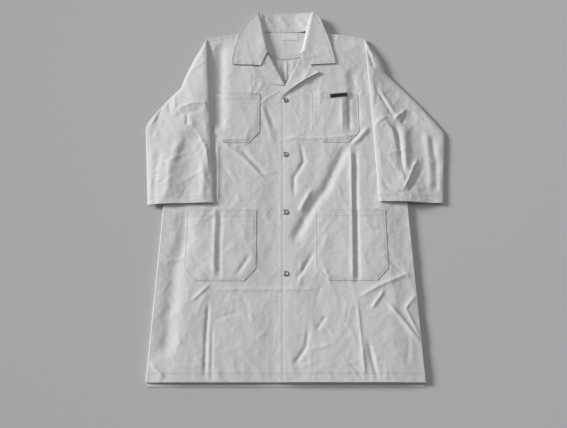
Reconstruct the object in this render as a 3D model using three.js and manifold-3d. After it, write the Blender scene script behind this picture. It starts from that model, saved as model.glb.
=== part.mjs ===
// Lab coat: knee length, long sleeves, notched collar, four patch pockets and four snap fasteners.
// It lies flat on its back, snapped shut, with both sleeves brought down beside the body.
// Millimetres. +X points to the wearer's left, +Y from the hem to the collar, +Z up from the surface.
import * as THREE from "three";
import { mergeVertices } from "three/addons/utils/BufferGeometryUtils.js";
import Module from "manifold-3d";

const wasm = await Module();
wasm.setup();

// Cloth, and the room between its layers
const CLOTH = 1.0; // one ply
const CLEARANCE = 0.3; // between pieces that touch
const SEAM_WIDTH = 4.0; // a felled seam or a folded edge
const BODY_SPACE = 6.5; // between the back and the lowest front layer
const SNAP_SPACE = 3.6; // between the two fronts, for a closed snap
const POCKET_SPACE = 5.0; // for a hand, between front and pocket
const SLEEVE_SPACE = 6.0; // for an arm, between the two sleeve layers

// Body panels, half of a symmetrical pattern. Heights are from the front hem, and depths from the neck seam.
const NECK_HEIGHT = 1028;
const BACK_HEM_DROP = 10; // the back hangs this much below the fronts
const HEM_HALF = 347;
const WAIST_HALF = 331;
const WAIST_DEPTH = 558;
const CHEST_HALF = 310;
const ARMPIT_DEPTH = 338;
const ARMHOLE_HALF = 240; // what the armhole curve bends towards
const SHOULDER_HALF = 235;
const SHOULDER_DEPTH = 28;
const NECK_HALF = 79;
const VENT_HEIGHT = 350;
const VENT_UNDERLAP = 36; // each way from the centre back
const NECK_FACING_DEPTH = 96;
const NECK_LABEL = { width: 49, height: 25, centre: 13, depth: 3 };

// Front edges, lapels, and the line that each front folds back on: [across, depth]
const OVERLAP = 15; // left front past the snap line
const UNDERLAP = 18; // right front past the snap line
const BREAK_DEPTH = 231; // where the lapel starts to roll
const V_DEPTH = 189; // bottom of the neck opening
const GORGE_INNER = fromNeck([52, 77]); // seam between collar and lapel, at the roll line
const GORGE_OUTER = fromNeck([73, 122]); // and at the notch
const LAPEL_TIP = fromNeck([99, 148]);
const LAPEL_BELLY = fromNeck([33, 185]); // what the lapel's outer edge bends towards
const FOLD_TOP = fromNeck([101, 122]); // where the fold line meets the collar's lower edge
const FOLD_HEM_HALF = 269;
const FACING_WIDTH = 62;
const GORGE_GAP = 1.5;

// Collar
const COLLAR_RISE = 62; // above the neck seam, at the back
const COLLAR_OUTER = fromNeck([113, -13]);
const COLLAR_TIP = fromNeck([146, 114]);
const LEAF_START = 2.0; // from the end of the roll line to the leaf's inner corner

// Pockets: distance of the inner edge from the centre front, width, and depths of the two edges
const BREAST_POCKET = pocketAt(SHOULDER_HALF - 160, 132, 214, 372);
const LOWER_POCKET = pocketAt(80, 188, 572, 770);
const POCKET_CORNER = [30, 34]; // cut off each bottom corner, across and up
const CHEST_LABEL = { width: 50, height: 12, inner: 53, drop: 4 };

// Snap fasteners, on the centre line
const SNAP_DEPTH = 238; // of the highest one
const SNAP_PITCH = 171;
const SNAP_COUNT = 4;
const CAP_RADIUS = 7.5;
const CAP_SHOULDER_RADIUS = 6.0;
const CAP_CREST_RADIUS = 3.75;
const CAP_DISH_RADIUS = 3.0;
const CAP_EDGE_HEIGHT = 0.6;
const CAP_SHOULDER_HEIGHT = 1.44;
const CAP_HEIGHT = 1.8;
const CAP_DISH_HEIGHT = 1.26; // the middle is pressed in
const CAP_POST_RADIUS = 1.8;
const FLANGE_RADIUS = 5.5;
const FLANGE_HEIGHT = 0.8;
const SOCKET_HEIGHT = 1.6;
const KNOB_RADIUS = 2.1;
const SNAP_HOLE = 2.5;
const ROUND_SIDES = 24;

// Sleeves as they lie: corners measured from the shoulder point, outwards and down
const LEFT_SLEEVE = {
  kink: fromShoulder([58, 117]),
  elbow: fromShoulder([216, 313]),
  cuffOuter: fromShoulder([196, 523]),
  cuffInner: fromShoulder([18, 523]),
  crook: 270, // how far down the inside of the elbow is
};
const RIGHT_SLEEVE = {
  kink: fromShoulder([69, 164]),
  elbow: fromShoulder([164, 288]),
  cuffOuter: fromShoulder([142, 530]),
  cuffInner: fromShoulder([-41, 526]),
  crook: 255,
};
const ARMHOLE_SEAM_LENGTH = 0.35; // share of the armhole that is closed below the shoulder point
const ELBOW_GAP = 1.0;
const SLEEVE_HEAD_ROOM = 2.0; // between the two seams where the sleeve begins

// A place given as its distance from the centre line and its depth below the neck seam.
function fromNeck([across, depth]) {
  return [across, NECK_HEIGHT - depth];
}

function fromShoulder([outwards, down]) {
  return fromNeck([SHOULDER_HALF + outwards, SHOULDER_DEPTH + down]);
}

function pocketAt(inner, width, topDepth, bottomDepth) {
  return { inner, width, top: NECK_HEIGHT - topDepth, bottom: NECK_HEIGHT - bottomDepth };
}

// Heights of the layers above the surface, each by its underside
const INSIDE_LAYER = CLOTH + CLEARANCE;
const SECOND_INSIDE_LAYER = INSIDE_LAYER + CLOTH + CLEARANCE;
const RIGHT_FACING = CLOTH + BODY_SPACE;
const RIGHT_FRONT = RIGHT_FACING + CLOTH + CLEARANCE;
const LEFT_FACING = RIGHT_FRONT + CLOTH + SNAP_SPACE;
const LEFT_FRONT = LEFT_FACING + CLOTH + CLEARANCE;
const SLEEVE_LAYER = RIGHT_FRONT + CLOTH + POCKET_SPACE + CLOTH + CLEARANCE;
const SHOULDER_HEIGHT = NECK_HEIGHT - SHOULDER_DEPTH;
const ARMPIT_HEIGHT = NECK_HEIGHT - ARMPIT_DEPTH;
const WAIST_HEIGHT = NECK_HEIGHT - WAIST_DEPTH;
const V_HEIGHT = NECK_HEIGHT - V_DEPTH;
const BREAK_HEIGHT = NECK_HEIGHT - BREAK_DEPTH;
const COLLAR_TOP = NECK_HEIGHT + COLLAR_RISE;

const SIDES = [
  {
    name: "left",
    sign: 1,
    facing: LEFT_FACING,
    front: LEFT_FRONT,
    edge: -OVERLAP,
    sleeve: LEFT_SLEEVE,
  },
  {
    name: "right",
    sign: -1,
    facing: RIGHT_FACING,
    front: RIGHT_FRONT,
    edge: -UNDERLAP,
    sleeve: RIGHT_SLEEVE,
  },
];

const FINISHES = {
  cloth: { color: 0xe9ebee, roughness: 0.9, metalness: 0 },
  neckLabel: { color: 0xf7f7f5, roughness: 0.7, metalness: 0 },
  chestLabel: { color: 0x17181c, roughness: 0.75, metalness: 0 },
  snap: { color: 0xb9bcc0, roughness: 0.3, metalness: 1 },
};

const coat = new THREE.Group();

// ---------------------------------------------------------------- solids

// A closed three.js geometry as a solid that can be joined and cut.
function solidFrom(geometry) {
  geometry.deleteAttribute("normal");
  geometry.deleteAttribute("uv");
  const merged = mergeVertices(geometry, 1e-3);
  return new wasm.Manifold(
    new wasm.Mesh({
      numProp: 3,
      vertProperties: merged.attributes.position.array,
      triVerts: new Uint32Array(merged.index.array),
    }),
  );
}

// A flat outline, [x, y] corners in either direction, raised from its underside.
function slab(outline, bottom, height = CLOTH) {
  const shape = new THREE.Shape(outline.map(([x, y]) => new THREE.Vector2(x, y)));
  const geometry = new THREE.ExtrudeGeometry(shape, { depth: height, bevelEnabled: false });
  geometry.translate(0, 0, bottom);
  return solidFrom(geometry);
}

// A round piece turned from a profile of [radius, height] points that starts and ends on the axis.
function turned(profile, x, y) {
  const points = profile.map(([r, z]) => new THREE.Vector2(r, z));
  const geometry = new THREE.LatheGeometry(points, ROUND_SIDES);
  geometry.rotateX(Math.PI / 2);
  geometry.translate(x, y, 0);
  return solidFrom(geometry);
}

// A wall that follows an open line of points, on its left-hand side, from its underside.
function wall(line, bottom, height, width = SEAM_WIDTH) {
  return slab([...line, ...offset(line, width).reverse()], bottom, height);
}

// An open line moved sideways to its left, with mitred corners.
function offset(line, distance) {
  return line.map((point, i) => {
    const before = line[Math.max(i - 1, 0)];
    const after = line[Math.min(i + 1, line.length - 1)];
    const into = i > 0 ? unit(before, point) : unit(point, after);
    const out = i < line.length - 1 ? unit(point, after) : into;
    const normal = [-(into[1] + out[1]), into[0] + out[0]];
    const scale = (2 * distance) / (normal[0] ** 2 + normal[1] ** 2);
    return [point[0] + normal[0] * scale, point[1] + normal[1] * scale];
  });
}

function unit(from, to) {
  const length = Math.hypot(to[0] - from[0], to[1] - from[1]);
  return [(to[0] - from[0]) / length, (to[1] - from[1]) / length];
}

function step(from, direction, distance) {
  return [from[0] + direction[0] * distance, from[1] + direction[1] * distance];
}

// The point of a line from one place to another at a given share of its length.
function along(from, to, share) {
  return [from[0] + (to[0] - from[0]) * share, from[1] + (to[1] - from[1]) * share];
}

// The point of a line from one place to another at a given height.
function atHeight(from, to, height) {
  return along(from, to, (height - from[1]) / (to[1] - from[1]));
}

// Points on a curve that bends towards a pull point.
function curve(from, pull, to, steps = 6) {
  const points = [];
  for (let i = 0; i <= steps; i += 1) {
    const share = i / steps;
    points.push(along(along(from, pull, share), along(pull, to, share), share));
  }
  return points;
}

// Moves an outline drawn for the wearer's left to the side that it is for.
function onto(side, outline) {
  return outline.map(([x, y]) => [x * side.sign, y]);
}

// Adds a solid to the coat as a named mesh with a finish of its own.
function place(name, solid, finish = "cloth") {
  const made = solid.getMesh();
  const geometry = new THREE.BufferGeometry();
  geometry.setAttribute("position", new THREE.BufferAttribute(made.vertProperties, 3));
  geometry.setIndex(new THREE.BufferAttribute(made.triVerts, 1));
  geometry.computeVertexNormals();
  const mesh = new THREE.Mesh(geometry, new THREE.MeshStandardMaterial(FINISHES[finish]));
  mesh.name = name;
  coat.add(mesh);
}

// ---------------------------------------------------------------- outlines for the wearer's left

const NECK_POINT = [NECK_HALF, NECK_HEIGHT];
const SHOULDER_POINT = [SHOULDER_HALF, SHOULDER_HEIGHT];
const ARMPIT = [CHEST_HALF, ARMPIT_HEIGHT];
const ROLL_TOP = [NECK_HALF, COLLAR_TOP];
const V_BOTTOM = [0, V_HEIGHT];

// From the side of the hem up the side seam to the armpit.
function sideLine(hemHeight) {
  return [
    [HEM_HALF, hemHeight],
    [WAIST_HALF, WAIST_HEIGHT],
    ARMPIT,
  ];
}

function armhole() {
  const pull = [ARMHOLE_HALF, ARMPIT_HEIGHT + (SHOULDER_HEIGHT - ARMPIT_HEIGHT) / 3];
  return curve(ARMPIT, pull, SHOULDER_POINT);
}

// The edge of a panel that meets the side seam, armhole and shoulder seam, inside those seams.
function sewnEdge(hemHeight) {
  const pastNeck = step(NECK_POINT, unit(SHOULDER_POINT, NECK_POINT), 2 * CLOTH);
  const line = [...sideLine(hemHeight), ...armhole().slice(1), pastNeck];
  return offset(line, SEAM_WIDTH + CLEARANCE);
}

// A height on the line that a front folds back on.
function foldAt(height) {
  return along([FOLD_HEM_HALF, 0], FOLD_TOP, height / FOLD_TOP[1]);
}

// All of a front that turns back: from its edge to the fold line and up to the collar.
function foldingZone(grow) {
  const top = FOLD_TOP[1] + grow;
  const below = foldAt(-BACK_HEM_DROP - grow);
  const upper = foldAt(top);
  return [
    [-HEM_HALF, below[1]],
    [below[0] + grow, below[1]],
    [upper[0] + grow, top],
    [GORGE_OUTER[0] + grow, top],
    [GORGE_INNER[0] + grow, GORGE_INNER[1] + grow],
    [-HEM_HALF, GORGE_INNER[1] + grow],
  ];
}

// The part of a solid on the turning front, or the part that stays with the body.
function folding(side, solid) {
  return solid.intersect(slab(onto(side, foldingZone(0)), 0, COLLAR_TOP));
}

function staying(side, solid) {
  return solid.subtract(slab(onto(side, foldingZone(GORGE_GAP)), -CLOTH, COLLAR_TOP));
}

function pocketOutline(pocket) {
  const outer = pocket.inner + pocket.width;
  const [across, up] = POCKET_CORNER;
  return [
    [pocket.inner, pocket.top],
    [pocket.inner, pocket.bottom + up],
    [pocket.inner + across, pocket.bottom],
    [outer - across, pocket.bottom],
    [outer, pocket.bottom + up],
    [outer, pocket.top],
  ];
}

// ---------------------------------------------------------------- back

function makeBack() {
  for (const side of SIDES) {
    const edge = sewnEdge(0);
    const outline = [
      [CLEARANCE / 2, -BACK_HEM_DROP],
      [edge[0][0], -BACK_HEM_DROP],
      ...edge,
      [edge.at(-1)[0], NECK_HEIGHT],
      [CLEARANCE / 2, NECK_HEIGHT],
    ];
    place("back_" + side.name, slab(onto(side, outline), 0));
  }
  const underlap = [
    [-VENT_UNDERLAP, 0],
    [VENT_UNDERLAP, 0],
    [VENT_UNDERLAP, VENT_HEIGHT],
    [-VENT_UNDERLAP, VENT_HEIGHT + VENT_UNDERLAP],
  ];
  place("back_vent_underlap", slab(underlap, INSIDE_LAYER));
  const facingBottom = NECK_HEIGHT - NECK_FACING_DEPTH;
  const halfNeck = NECK_HALF - SEAM_WIDTH;
  const facing = [
    [-halfNeck, NECK_HEIGHT],
    [-halfNeck, facingBottom + NECK_FACING_DEPTH / 3],
    [-halfNeck / 2, facingBottom],
    [halfNeck / 2, facingBottom],
    [halfNeck, facingBottom + NECK_FACING_DEPTH / 3],
    [halfNeck, NECK_HEIGHT],
  ];
  place("back_neck_facing", slab(facing, INSIDE_LAYER));
  const labelTop = NECK_HEIGHT - NECK_LABEL.depth;
  const labelLeft = NECK_LABEL.centre - NECK_LABEL.width / 2;
  const label = [
    [labelLeft, labelTop - NECK_LABEL.height],
    [labelLeft + NECK_LABEL.width, labelTop - NECK_LABEL.height],
    [labelLeft + NECK_LABEL.width, labelTop],
    [labelLeft, labelTop],
  ];
  place("neck_label", slab(label, SECOND_INSIDE_LAYER, CLOTH / 2), "neckLabel");
}

// ---------------------------------------------------------------- seams that join back and fronts

function makeSeams(side) {
  const top = side.front + CLOTH;
  place(side.name + "_side_seam", wall(onto(side, sideLine(0)), 0, top, SEAM_WIDTH * side.sign));
  const shoulder = [SHOULDER_POINT, NECK_POINT];
  place(side.name + "_shoulder_seam", wall(onto(side, shoulder), 0, top, SEAM_WIDTH * side.sign));
  const fullArmhole = armhole();
  const closed = fullArmhole.slice(Math.round(fullArmhole.length * (1 - ARMHOLE_SEAM_LENGTH)));
  const height = SLEEVE_LAYER - CLEARANCE - INSIDE_LAYER;
  const seam = wall(onto(side, closed), INSIDE_LAYER, height, SEAM_WIDTH * side.sign);
  const pastShoulder = step(SHOULDER_POINT, unit(NECK_POINT, SHOULDER_POINT), SEAM_WIDTH);
  const around = wall(
    onto(side, [pastShoulder, NECK_POINT]),
    0,
    top + CLEARANCE,
    (SEAM_WIDTH + CLEARANCE) * side.sign,
  );
  place(side.name + "_armhole_seam", seam.subtract(around));
}

// ---------------------------------------------------------------- fronts, facings and lapels

function frontOutline(side) {
  return [
    [side.edge, 0],
    ...sewnEdge(0),
    [GORGE_INNER[0] + SEAM_WIDTH + CLEARANCE, GORGE_INNER[1] + GORGE_GAP],
    GORGE_INNER,
    V_BOTTOM,
    [side.edge, BREAK_HEIGHT],
  ];
}

function snapHeights() {
  return Array.from({ length: SNAP_COUNT }, (_, i) => NECK_HEIGHT - SNAP_DEPTH - i * SNAP_PITCH);
}

function withSnapHoles(solid) {
  const tool = snapHeights().map((y) =>
    turned(
      [
        [0, -CLOTH],
        [SNAP_HOLE, -CLOTH],
        [SNAP_HOLE, SLEEVE_LAYER + SLEEVE_SPACE],
        [0, SLEEVE_LAYER + SLEEVE_SPACE],
      ],
      0,
      y,
    ),
  );
  return tool.reduce((left, hole) => left.subtract(hole), solid);
}

function makeFront(side) {
  const panel = slab(onto(side, frontOutline(side)), side.front);
  place(side.name + "_front", withSnapHoles(folding(side, panel)));
  const gorgeEnd = step(GORGE_INNER, unit(ROLL_TOP, GORGE_INNER), SEAM_WIDTH);
  const standLine = onto(side, [gorgeEnd, ROLL_TOP]);
  const stand = wall(standLine, 0, COLLAR_TOP, -SEAM_WIDTH * side.sign);
  place(side.name + "_front_side", staying(side, panel).subtract(stand));
  const facing = [
    [side.edge, 0],
    [FACING_WIDTH, 0],
    [FACING_WIDTH, LAPEL_TIP[1]],
    GORGE_OUTER,
    GORGE_INNER,
    V_BOTTOM,
    [side.edge, BREAK_HEIGHT],
  ];
  place(side.name + "_facing", withSnapHoles(slab(onto(side, facing), side.facing)));
}

// The lapel lies on its front, from the roll line out to its tip.
function makeLapel(side) {
  const gorge = offset([GORGE_INNER, GORGE_OUTER], -GORGE_GAP);
  const outline = [
    ...gorge,
    ...curve(LAPEL_TIP, LAPEL_BELLY, [side.edge, BREAK_HEIGHT]),
    V_BOTTOM,
  ];
  const lapel = slab(onto(side, outline), side.front + CLOTH + CLEARANCE);
  if (side.sign > 0) {
    place("left_lapel", lapel);
    return;
  }
  const cover = [
    [-OVERLAP - GORGE_GAP, 0],
    [-OVERLAP - GORGE_GAP, BREAK_HEIGHT],
    [-GORGE_GAP, V_HEIGHT + GORGE_GAP],
    [HEM_HALF, V_HEIGHT + GORGE_GAP],
    [HEM_HALF, 0],
  ];
  place("right_lapel", lapel.subtract(slab(cover, 0, SLEEVE_LAYER + SLEEVE_SPACE)));
}

// ---------------------------------------------------------------- collar

function makeCollarBack() {
  const bottom = NECK_HEIGHT + CLEARANCE;
  const outline = [
    [-NECK_HALF, bottom],
    [NECK_HALF, bottom],
    [NECK_HALF, COLLAR_TOP],
    [-NECK_HALF, COLLAR_TOP],
  ];
  place("under_collar_back", slab(outline, 0));
  place("collar_back", slab(outline, INSIDE_LAYER));
}

function makeCollarLeaf(side) {
  const top = side.front + CLOTH;
  const rollLine = [GORGE_INNER, ROLL_TOP];
  const stand = wall(
    onto(side, rollLine),
    SECOND_INSIDE_LAYER,
    top - SECOND_INSIDE_LAYER,
    -(SEAM_WIDTH - CLEARANCE) * side.sign,
  );
  place(side.name + "_collar_stand", stand);
  const start = step(GORGE_INNER, unit(GORGE_INNER, ROLL_TOP), LEAF_START);
  const [inner, upper] = offset([start, ROLL_TOP], -CLEARANCE);
  const leaf = [inner, GORGE_OUTER, COLLAR_TIP, COLLAR_OUTER, upper];
  const layer = top + CLEARANCE;
  place(side.name + "_under_collar", slab(onto(side, leaf), layer));
  place(side.name + "_collar_leaf", slab(onto(side, leaf), layer + CLOTH + CLEARANCE));
}

// ---------------------------------------------------------------- pockets and labels

function makePocket(side, name, pocket) {
  const outline = pocketOutline(pocket);
  const onFront = side.front + CLOTH + CLEARANCE;
  const underside = side.front + CLOTH + POCKET_SPACE;
  const overlap = CLOTH / 2;
  const rimHeight = underside - onFront + overlap;
  const rim = wall(onto(side, outline), onFront, rimHeight, SEAM_WIDTH * side.sign);
  const whole = slab(onto(side, outline), underside).add(rim);
  place(side.name + "_" + name + "_pocket", folding(side, whole));
  place(side.name + "_" + name + "_pocket_side", staying(side, whole));
}

function makeChestLabel() {
  const side = SIDES[0];
  const left = BREAST_POCKET.inner + CHEST_LABEL.inner;
  const top = BREAST_POCKET.top - CHEST_LABEL.drop;
  const outline = [
    [left, top - CHEST_LABEL.height],
    [left + CHEST_LABEL.width, top - CHEST_LABEL.height],
    [left + CHEST_LABEL.width, top],
    [left, top],
  ];
  const onPocket = side.front + CLOTH + POCKET_SPACE + CLOTH + CLEARANCE;
  place("chest_label", slab(outline, onPocket, CLOTH / 2), "chestLabel");
}

// ---------------------------------------------------------------- snap fasteners

function makeSnap(number, y) {
  const onLeftFront = LEFT_FRONT + CLOTH + CLEARANCE;
  const socketTop = LEFT_FACING - CLEARANCE;
  const socketBottom = socketTop - SOCKET_HEIGHT;
  const onRightFront = RIGHT_FRONT + CLOTH + CLEARANCE;
  const knobTop = socketBottom + SOCKET_HEIGHT / 2;
  const backTop = RIGHT_FACING - CLEARANCE;
  const backBottom = backTop - FLANGE_HEIGHT;
  const cap = [
    [0, knobTop + CLEARANCE],
    [CAP_POST_RADIUS, knobTop + CLEARANCE],
    [CAP_POST_RADIUS, onLeftFront],
    [CAP_RADIUS, onLeftFront],
    [CAP_RADIUS, onLeftFront + CAP_EDGE_HEIGHT],
    [CAP_SHOULDER_RADIUS, onLeftFront + CAP_SHOULDER_HEIGHT],
    [CAP_CREST_RADIUS, onLeftFront + CAP_HEIGHT],
    [CAP_DISH_RADIUS, onLeftFront + CAP_DISH_HEIGHT],
    [0, onLeftFront + CAP_DISH_HEIGHT],
  ];
  place("snap_cap_" + number, turned(cap, 0, y), "snap");
  const socketRim = disc(FLANGE_RADIUS, socketBottom, socketTop, y);
  const socket = socketRim.subtract(disc(SNAP_HOLE, socketBottom - CLOTH, socketTop + CLOTH, y));
  place("snap_socket_" + number, socket, "snap");
  const stud = [
    [0, backBottom],
    [FLANGE_RADIUS, backBottom],
    [FLANGE_RADIUS, backTop],
    [CAP_POST_RADIUS, backTop],
    [CAP_POST_RADIUS, onRightFront],
    [FLANGE_RADIUS, onRightFront],
    [FLANGE_RADIUS, onRightFront + FLANGE_HEIGHT],
    [KNOB_RADIUS, onRightFront + FLANGE_HEIGHT],
    [KNOB_RADIUS, knobTop],
    [0, knobTop],
  ];
  place("snap_stud_" + number, turned(stud, 0, y), "snap");
}

function disc(radius, bottom, top, y) {
  return turned(
    [
      [0, bottom],
      [radius, bottom],
      [radius, top],
      [0, top],
    ],
    0,
    y,
  );
}

// ---------------------------------------------------------------- sleeves

// Everything on the shoulder's side of the line across the elbow, lowered by a gap.
function aboveElbow(side, crookPoint, gap) {
  const { elbow } = side.sleeve;
  const outside = along(crookPoint, elbow, 2);
  const inside = along(elbow, crookPoint, 2);
  const outline = [
    [outside[0], outside[1] - gap],
    [inside[0], inside[1] - gap],
    [inside[0], COLLAR_TOP],
    [outside[0], COLLAR_TOP],
  ];
  return slab(onto(side, outline), 0, COLLAR_TOP);
}

// The top layer turns down along the outer edge, a seam closes the inner edge, and the elbow divides all.
function makeSleeve(side) {
  const { kink, elbow, cuffOuter, cuffInner, crook } = side.sleeve;
  const inside = SEAM_WIDTH + CLEARANCE;
  const outwards = unit(SHOULDER_POINT, kink);
  const inwards = unit(SHOULDER_POINT, cuffInner);
  const spread = Math.abs(outwards[0] * inwards[1] - outwards[1] * inwards[0]);
  const head = (2 * inside + SLEEVE_HEAD_ROOM) / spread;
  const outer = [step(SHOULDER_POINT, outwards, head), kink, elbow, cuffOuter];
  const inner = [step(SHOULDER_POINT, inwards, head), cuffInner];
  const innerEdge = offset(inner, inside).reverse();
  const seamTop = atHeight(SHOULDER_POINT, cuffInner, (SHOULDER_HEIGHT + ARMPIT_HEIGHT) / 2);
  const topLayer = SLEEVE_LAYER + CLOTH + SLEEVE_SPACE;
  const height = topLayer + CLOTH - SLEEVE_LAYER;
  const folded = [SHOULDER_POINT, ...outer.slice(1)];
  const fold = wall(onto(side, folded), SLEEVE_LAYER, height, -SEAM_WIDTH * side.sign);
  const solids = {
    under_: slab(onto(side, [...offset(outer, -inside), ...innerEdge]), SLEEVE_LAYER),
    top_: slab(onto(side, [...outer, ...innerEdge]), topLayer).add(fold),
    "": wall(onto(side, [seamTop, cuffInner]), SLEEVE_LAYER, height, SEAM_WIDTH * side.sign),
  };
  const crookPoint = atHeight(SHOULDER_POINT, cuffInner, SHOULDER_HEIGHT - crook);
  for (const [layer, solid] of Object.entries(solids)) {
    const ending = layer ? "" : "_seam";
    const upper = solid.intersect(aboveElbow(side, crookPoint, 0));
    const lower = solid.subtract(aboveElbow(side, crookPoint, ELBOW_GAP));
    place(side.name + "_" + layer + "sleeve" + ending, upper);
    place(side.name + "_" + layer + "forearm" + ending, lower);
  }
}

// ---------------------------------------------------------------- the coat

makeBack();
makeCollarBack();
for (const side of SIDES) {
  makeSeams(side);
  makeFront(side);
  makeLapel(side);
  makeCollarLeaf(side);
  makePocket(side, "breast", BREAST_POCKET);
  makePocket(side, "lower", LOWER_POCKET);
  makeSleeve(side);
}
makeChestLabel();
snapHeights().forEach((y, i) => makeSnap(i + 1, y));

// The origin is at the middle of the footprint, on the surface that the coat lies on.
const middle = new THREE.Box3().setFromObject(coat).getCenter(new THREE.Vector3());
coat.position.set(-middle.x, -middle.y, 0);

export default coat;
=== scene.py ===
"""A lab coat that lies flat on its back, snapped shut, with both sleeves brought down beside the body.

Lengths are millimetres on the coat: across from the snap line, where plus is the wearer's left, and up
from the front hem. A finished mesh is in metres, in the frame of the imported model.
"""
import logging
import math
import random
from collections.abc import Callable, Sequence
from dataclasses import dataclass, field
from enum import Enum

import bmesh
import bpy
import numpy as np
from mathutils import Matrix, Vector, noise
from mathutils.geometry import delaunay_2d_cdt


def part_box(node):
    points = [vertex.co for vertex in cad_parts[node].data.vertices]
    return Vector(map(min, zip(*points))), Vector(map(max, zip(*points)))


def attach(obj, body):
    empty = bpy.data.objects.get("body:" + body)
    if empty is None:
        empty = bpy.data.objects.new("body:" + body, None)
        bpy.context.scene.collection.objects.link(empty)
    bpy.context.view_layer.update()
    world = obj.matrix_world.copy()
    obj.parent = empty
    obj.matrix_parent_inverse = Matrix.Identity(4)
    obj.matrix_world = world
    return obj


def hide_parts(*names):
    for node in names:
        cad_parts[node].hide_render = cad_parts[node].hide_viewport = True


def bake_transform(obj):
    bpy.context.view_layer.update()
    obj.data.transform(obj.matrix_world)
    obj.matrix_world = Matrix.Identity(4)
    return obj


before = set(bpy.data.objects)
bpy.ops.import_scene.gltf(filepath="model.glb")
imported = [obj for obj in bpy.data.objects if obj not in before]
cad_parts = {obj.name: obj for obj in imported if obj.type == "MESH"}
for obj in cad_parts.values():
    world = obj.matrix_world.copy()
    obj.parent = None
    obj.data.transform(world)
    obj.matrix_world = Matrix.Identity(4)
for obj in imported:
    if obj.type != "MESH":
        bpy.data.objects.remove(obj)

Point = tuple[float, float]
Heights = Callable[[np.ndarray], np.ndarray]

MM = 0.001
CREASE_DEPTH = 1.45  # how far every crease stands, against the heights below
CREASE_REACH = 6.0  # a crease is felt this many widths away
FACET_SIZE = 62.0  # how wide the flat faces of crumpled cloth are
LUMPS = (130.0, 54.0, 25.0, 12.0)  # the sizes of the swells, ridges, small ridges and grain of worn cloth
LUMP_SHARES = (0.8, 0.75, 0.36, 0.15)  # how high each of them stands, against the others
RIDGE_SHARPNESS = 2.4  # how steeply the sides of a ridge fall
CRISP = math.radians(52.0)  # edges that turn further than this stay sharp
# the next two set the painted shade along every cut edge: how dark it is against a seam's, and how far from
# the edge it reaches
EDGE_PAINTED_SHADE = 0.3  # how strongly a cut edge shows, against a seam
EDGE_REACH = 1.6  # how far from the edge it shows
TABLE = 0.95  # the lowest that the upper face of any layer lies
LIFTED = 50.0  # clear of the table, for heights that are added to another layer's
LOG = logging.getLogger("lab_coat")


class Side(Enum):
    """The wearer's left and right, by the sign of the distance across."""

    LEFT = 1
    RIGHT = -1

    @property
    def word(self) -> str:
        """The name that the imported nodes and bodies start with."""
        return self.name.lower()


class Fold(Enum):
    """How cloth stands along a crease."""

    SOFT = "soft"
    PRESSED = "pressed"


# ---------------------------------------------------------------- lines and places


def box_mm(node: str) -> tuple[float, float, float, float, float, float]:
    """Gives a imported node's box in coat millimetres.

    Args:
        node: The node's name.

    Returns:
        Lowest across, lowest up, lowest height, highest across, highest up, highest height.
    """
    low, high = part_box(node)
    return (
        low.x / MM - SNAP_LINE, low.y / MM - HEM_LINE, low.z / MM,
        high.x / MM - SNAP_LINE, high.y / MM - HEM_LINE, high.z / MM,
    )


_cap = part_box("snap_cap_1")
SNAP_LINE = (_cap[0].x + _cap[1].x) / 2 / MM
HEM_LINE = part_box("left_facing")[0].y / MM


def smooth(share: np.ndarray) -> np.ndarray:
    """Eases a share from 0 to 1, and holds it there outside that range."""
    t = np.clip(share, 0.0, 1.0)
    return t * t * (3.0 - 2.0 * t)


def bend(start: Point, pull: Point, end: Point, steps: int = 8) -> list[Point]:
    """Makes a curve that leans towards a pull point.

    Args:
        start: Where it starts.
        pull: What it leans towards.
        end: Where it ends.
        steps: The number of its stretches.

    Returns:
        The points of the curve.
    """
    a, b, c = (np.array(p, float) for p in (start, pull, end))
    shares = np.linspace(0.0, 1.0, steps + 1)
    return [tuple(a * (1 - t) ** 2 + b * 2 * t * (1 - t) + c * t * t) for t in shares]


def walk(line: Sequence[Point], pitch: float, closed: bool = False) -> np.ndarray:
    """Steps along a line and keeps its corners.

    Args:
        line: The corners.
        pitch: The longest step.
        closed: Whether the line runs back to its start.

    Returns:
        One point a row.
    """
    corners = np.array([*line, line[0]] if closed else line, float)
    points = []
    for here, there in zip(corners[:-1], corners[1:]):
        count = max(1, math.ceil(float(np.linalg.norm(there - here)) / pitch))
        points.extend(here + (there - here) * i / count for i in range(count))
    return np.array(points if closed else [*points, corners[-1]])


def shifted(line: np.ndarray, distance: float) -> np.ndarray:
    """Moves a line of points sideways.

    Args:
        line: The points.
        distance: How far it moves to its left, or to its right where it is negative.

    Returns:
        The moved points.
    """
    run = np.gradient(np.asarray(line, float), axis=0)
    run /= np.linalg.norm(run, axis=1)[:, None] + 1e-9
    return line + distance * np.stack([-run[:, 1], run[:, 0]], axis=1)


def nearest(xy: np.ndarray, line: Sequence[Point]) -> tuple[np.ndarray, np.ndarray, np.ndarray]:
    """Measures points against a line.

    Args:
        xy: The points, one a row.
        line: The corners of the line.

    Returns:
        Each point's distance, the side it is on (plus to the left), and how far along it is nearest.
    """
    best = np.full(len(xy), np.inf)
    side, along = np.zeros(len(xy)), np.zeros(len(xy))
    travelled = 0.0
    for here, there in zip(line[:-1], line[1:]):
        a, run = np.array(here, float), np.array(there, float) - np.array(here, float)
        length = float(np.linalg.norm(run))
        share = np.clip((xy - a) @ run / length**2, 0.0, 1.0)
        gap = xy - a - share[:, None] * run
        distance = np.linalg.norm(gap, axis=1)
        closer = distance < best
        best = np.where(closer, distance, best)
        side = np.where(closer, np.sign(run[0] * gap[:, 1] - run[1] * gap[:, 0]), side)
        along = np.where(closer, travelled + share * length, along)
        travelled += length
    return best, side, along


def line_length(line: Sequence[Point]) -> float:
    """Gives the whole length of a line of points."""
    return float(np.linalg.norm(np.diff(np.array(line, float), axis=0), axis=1).sum())


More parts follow.
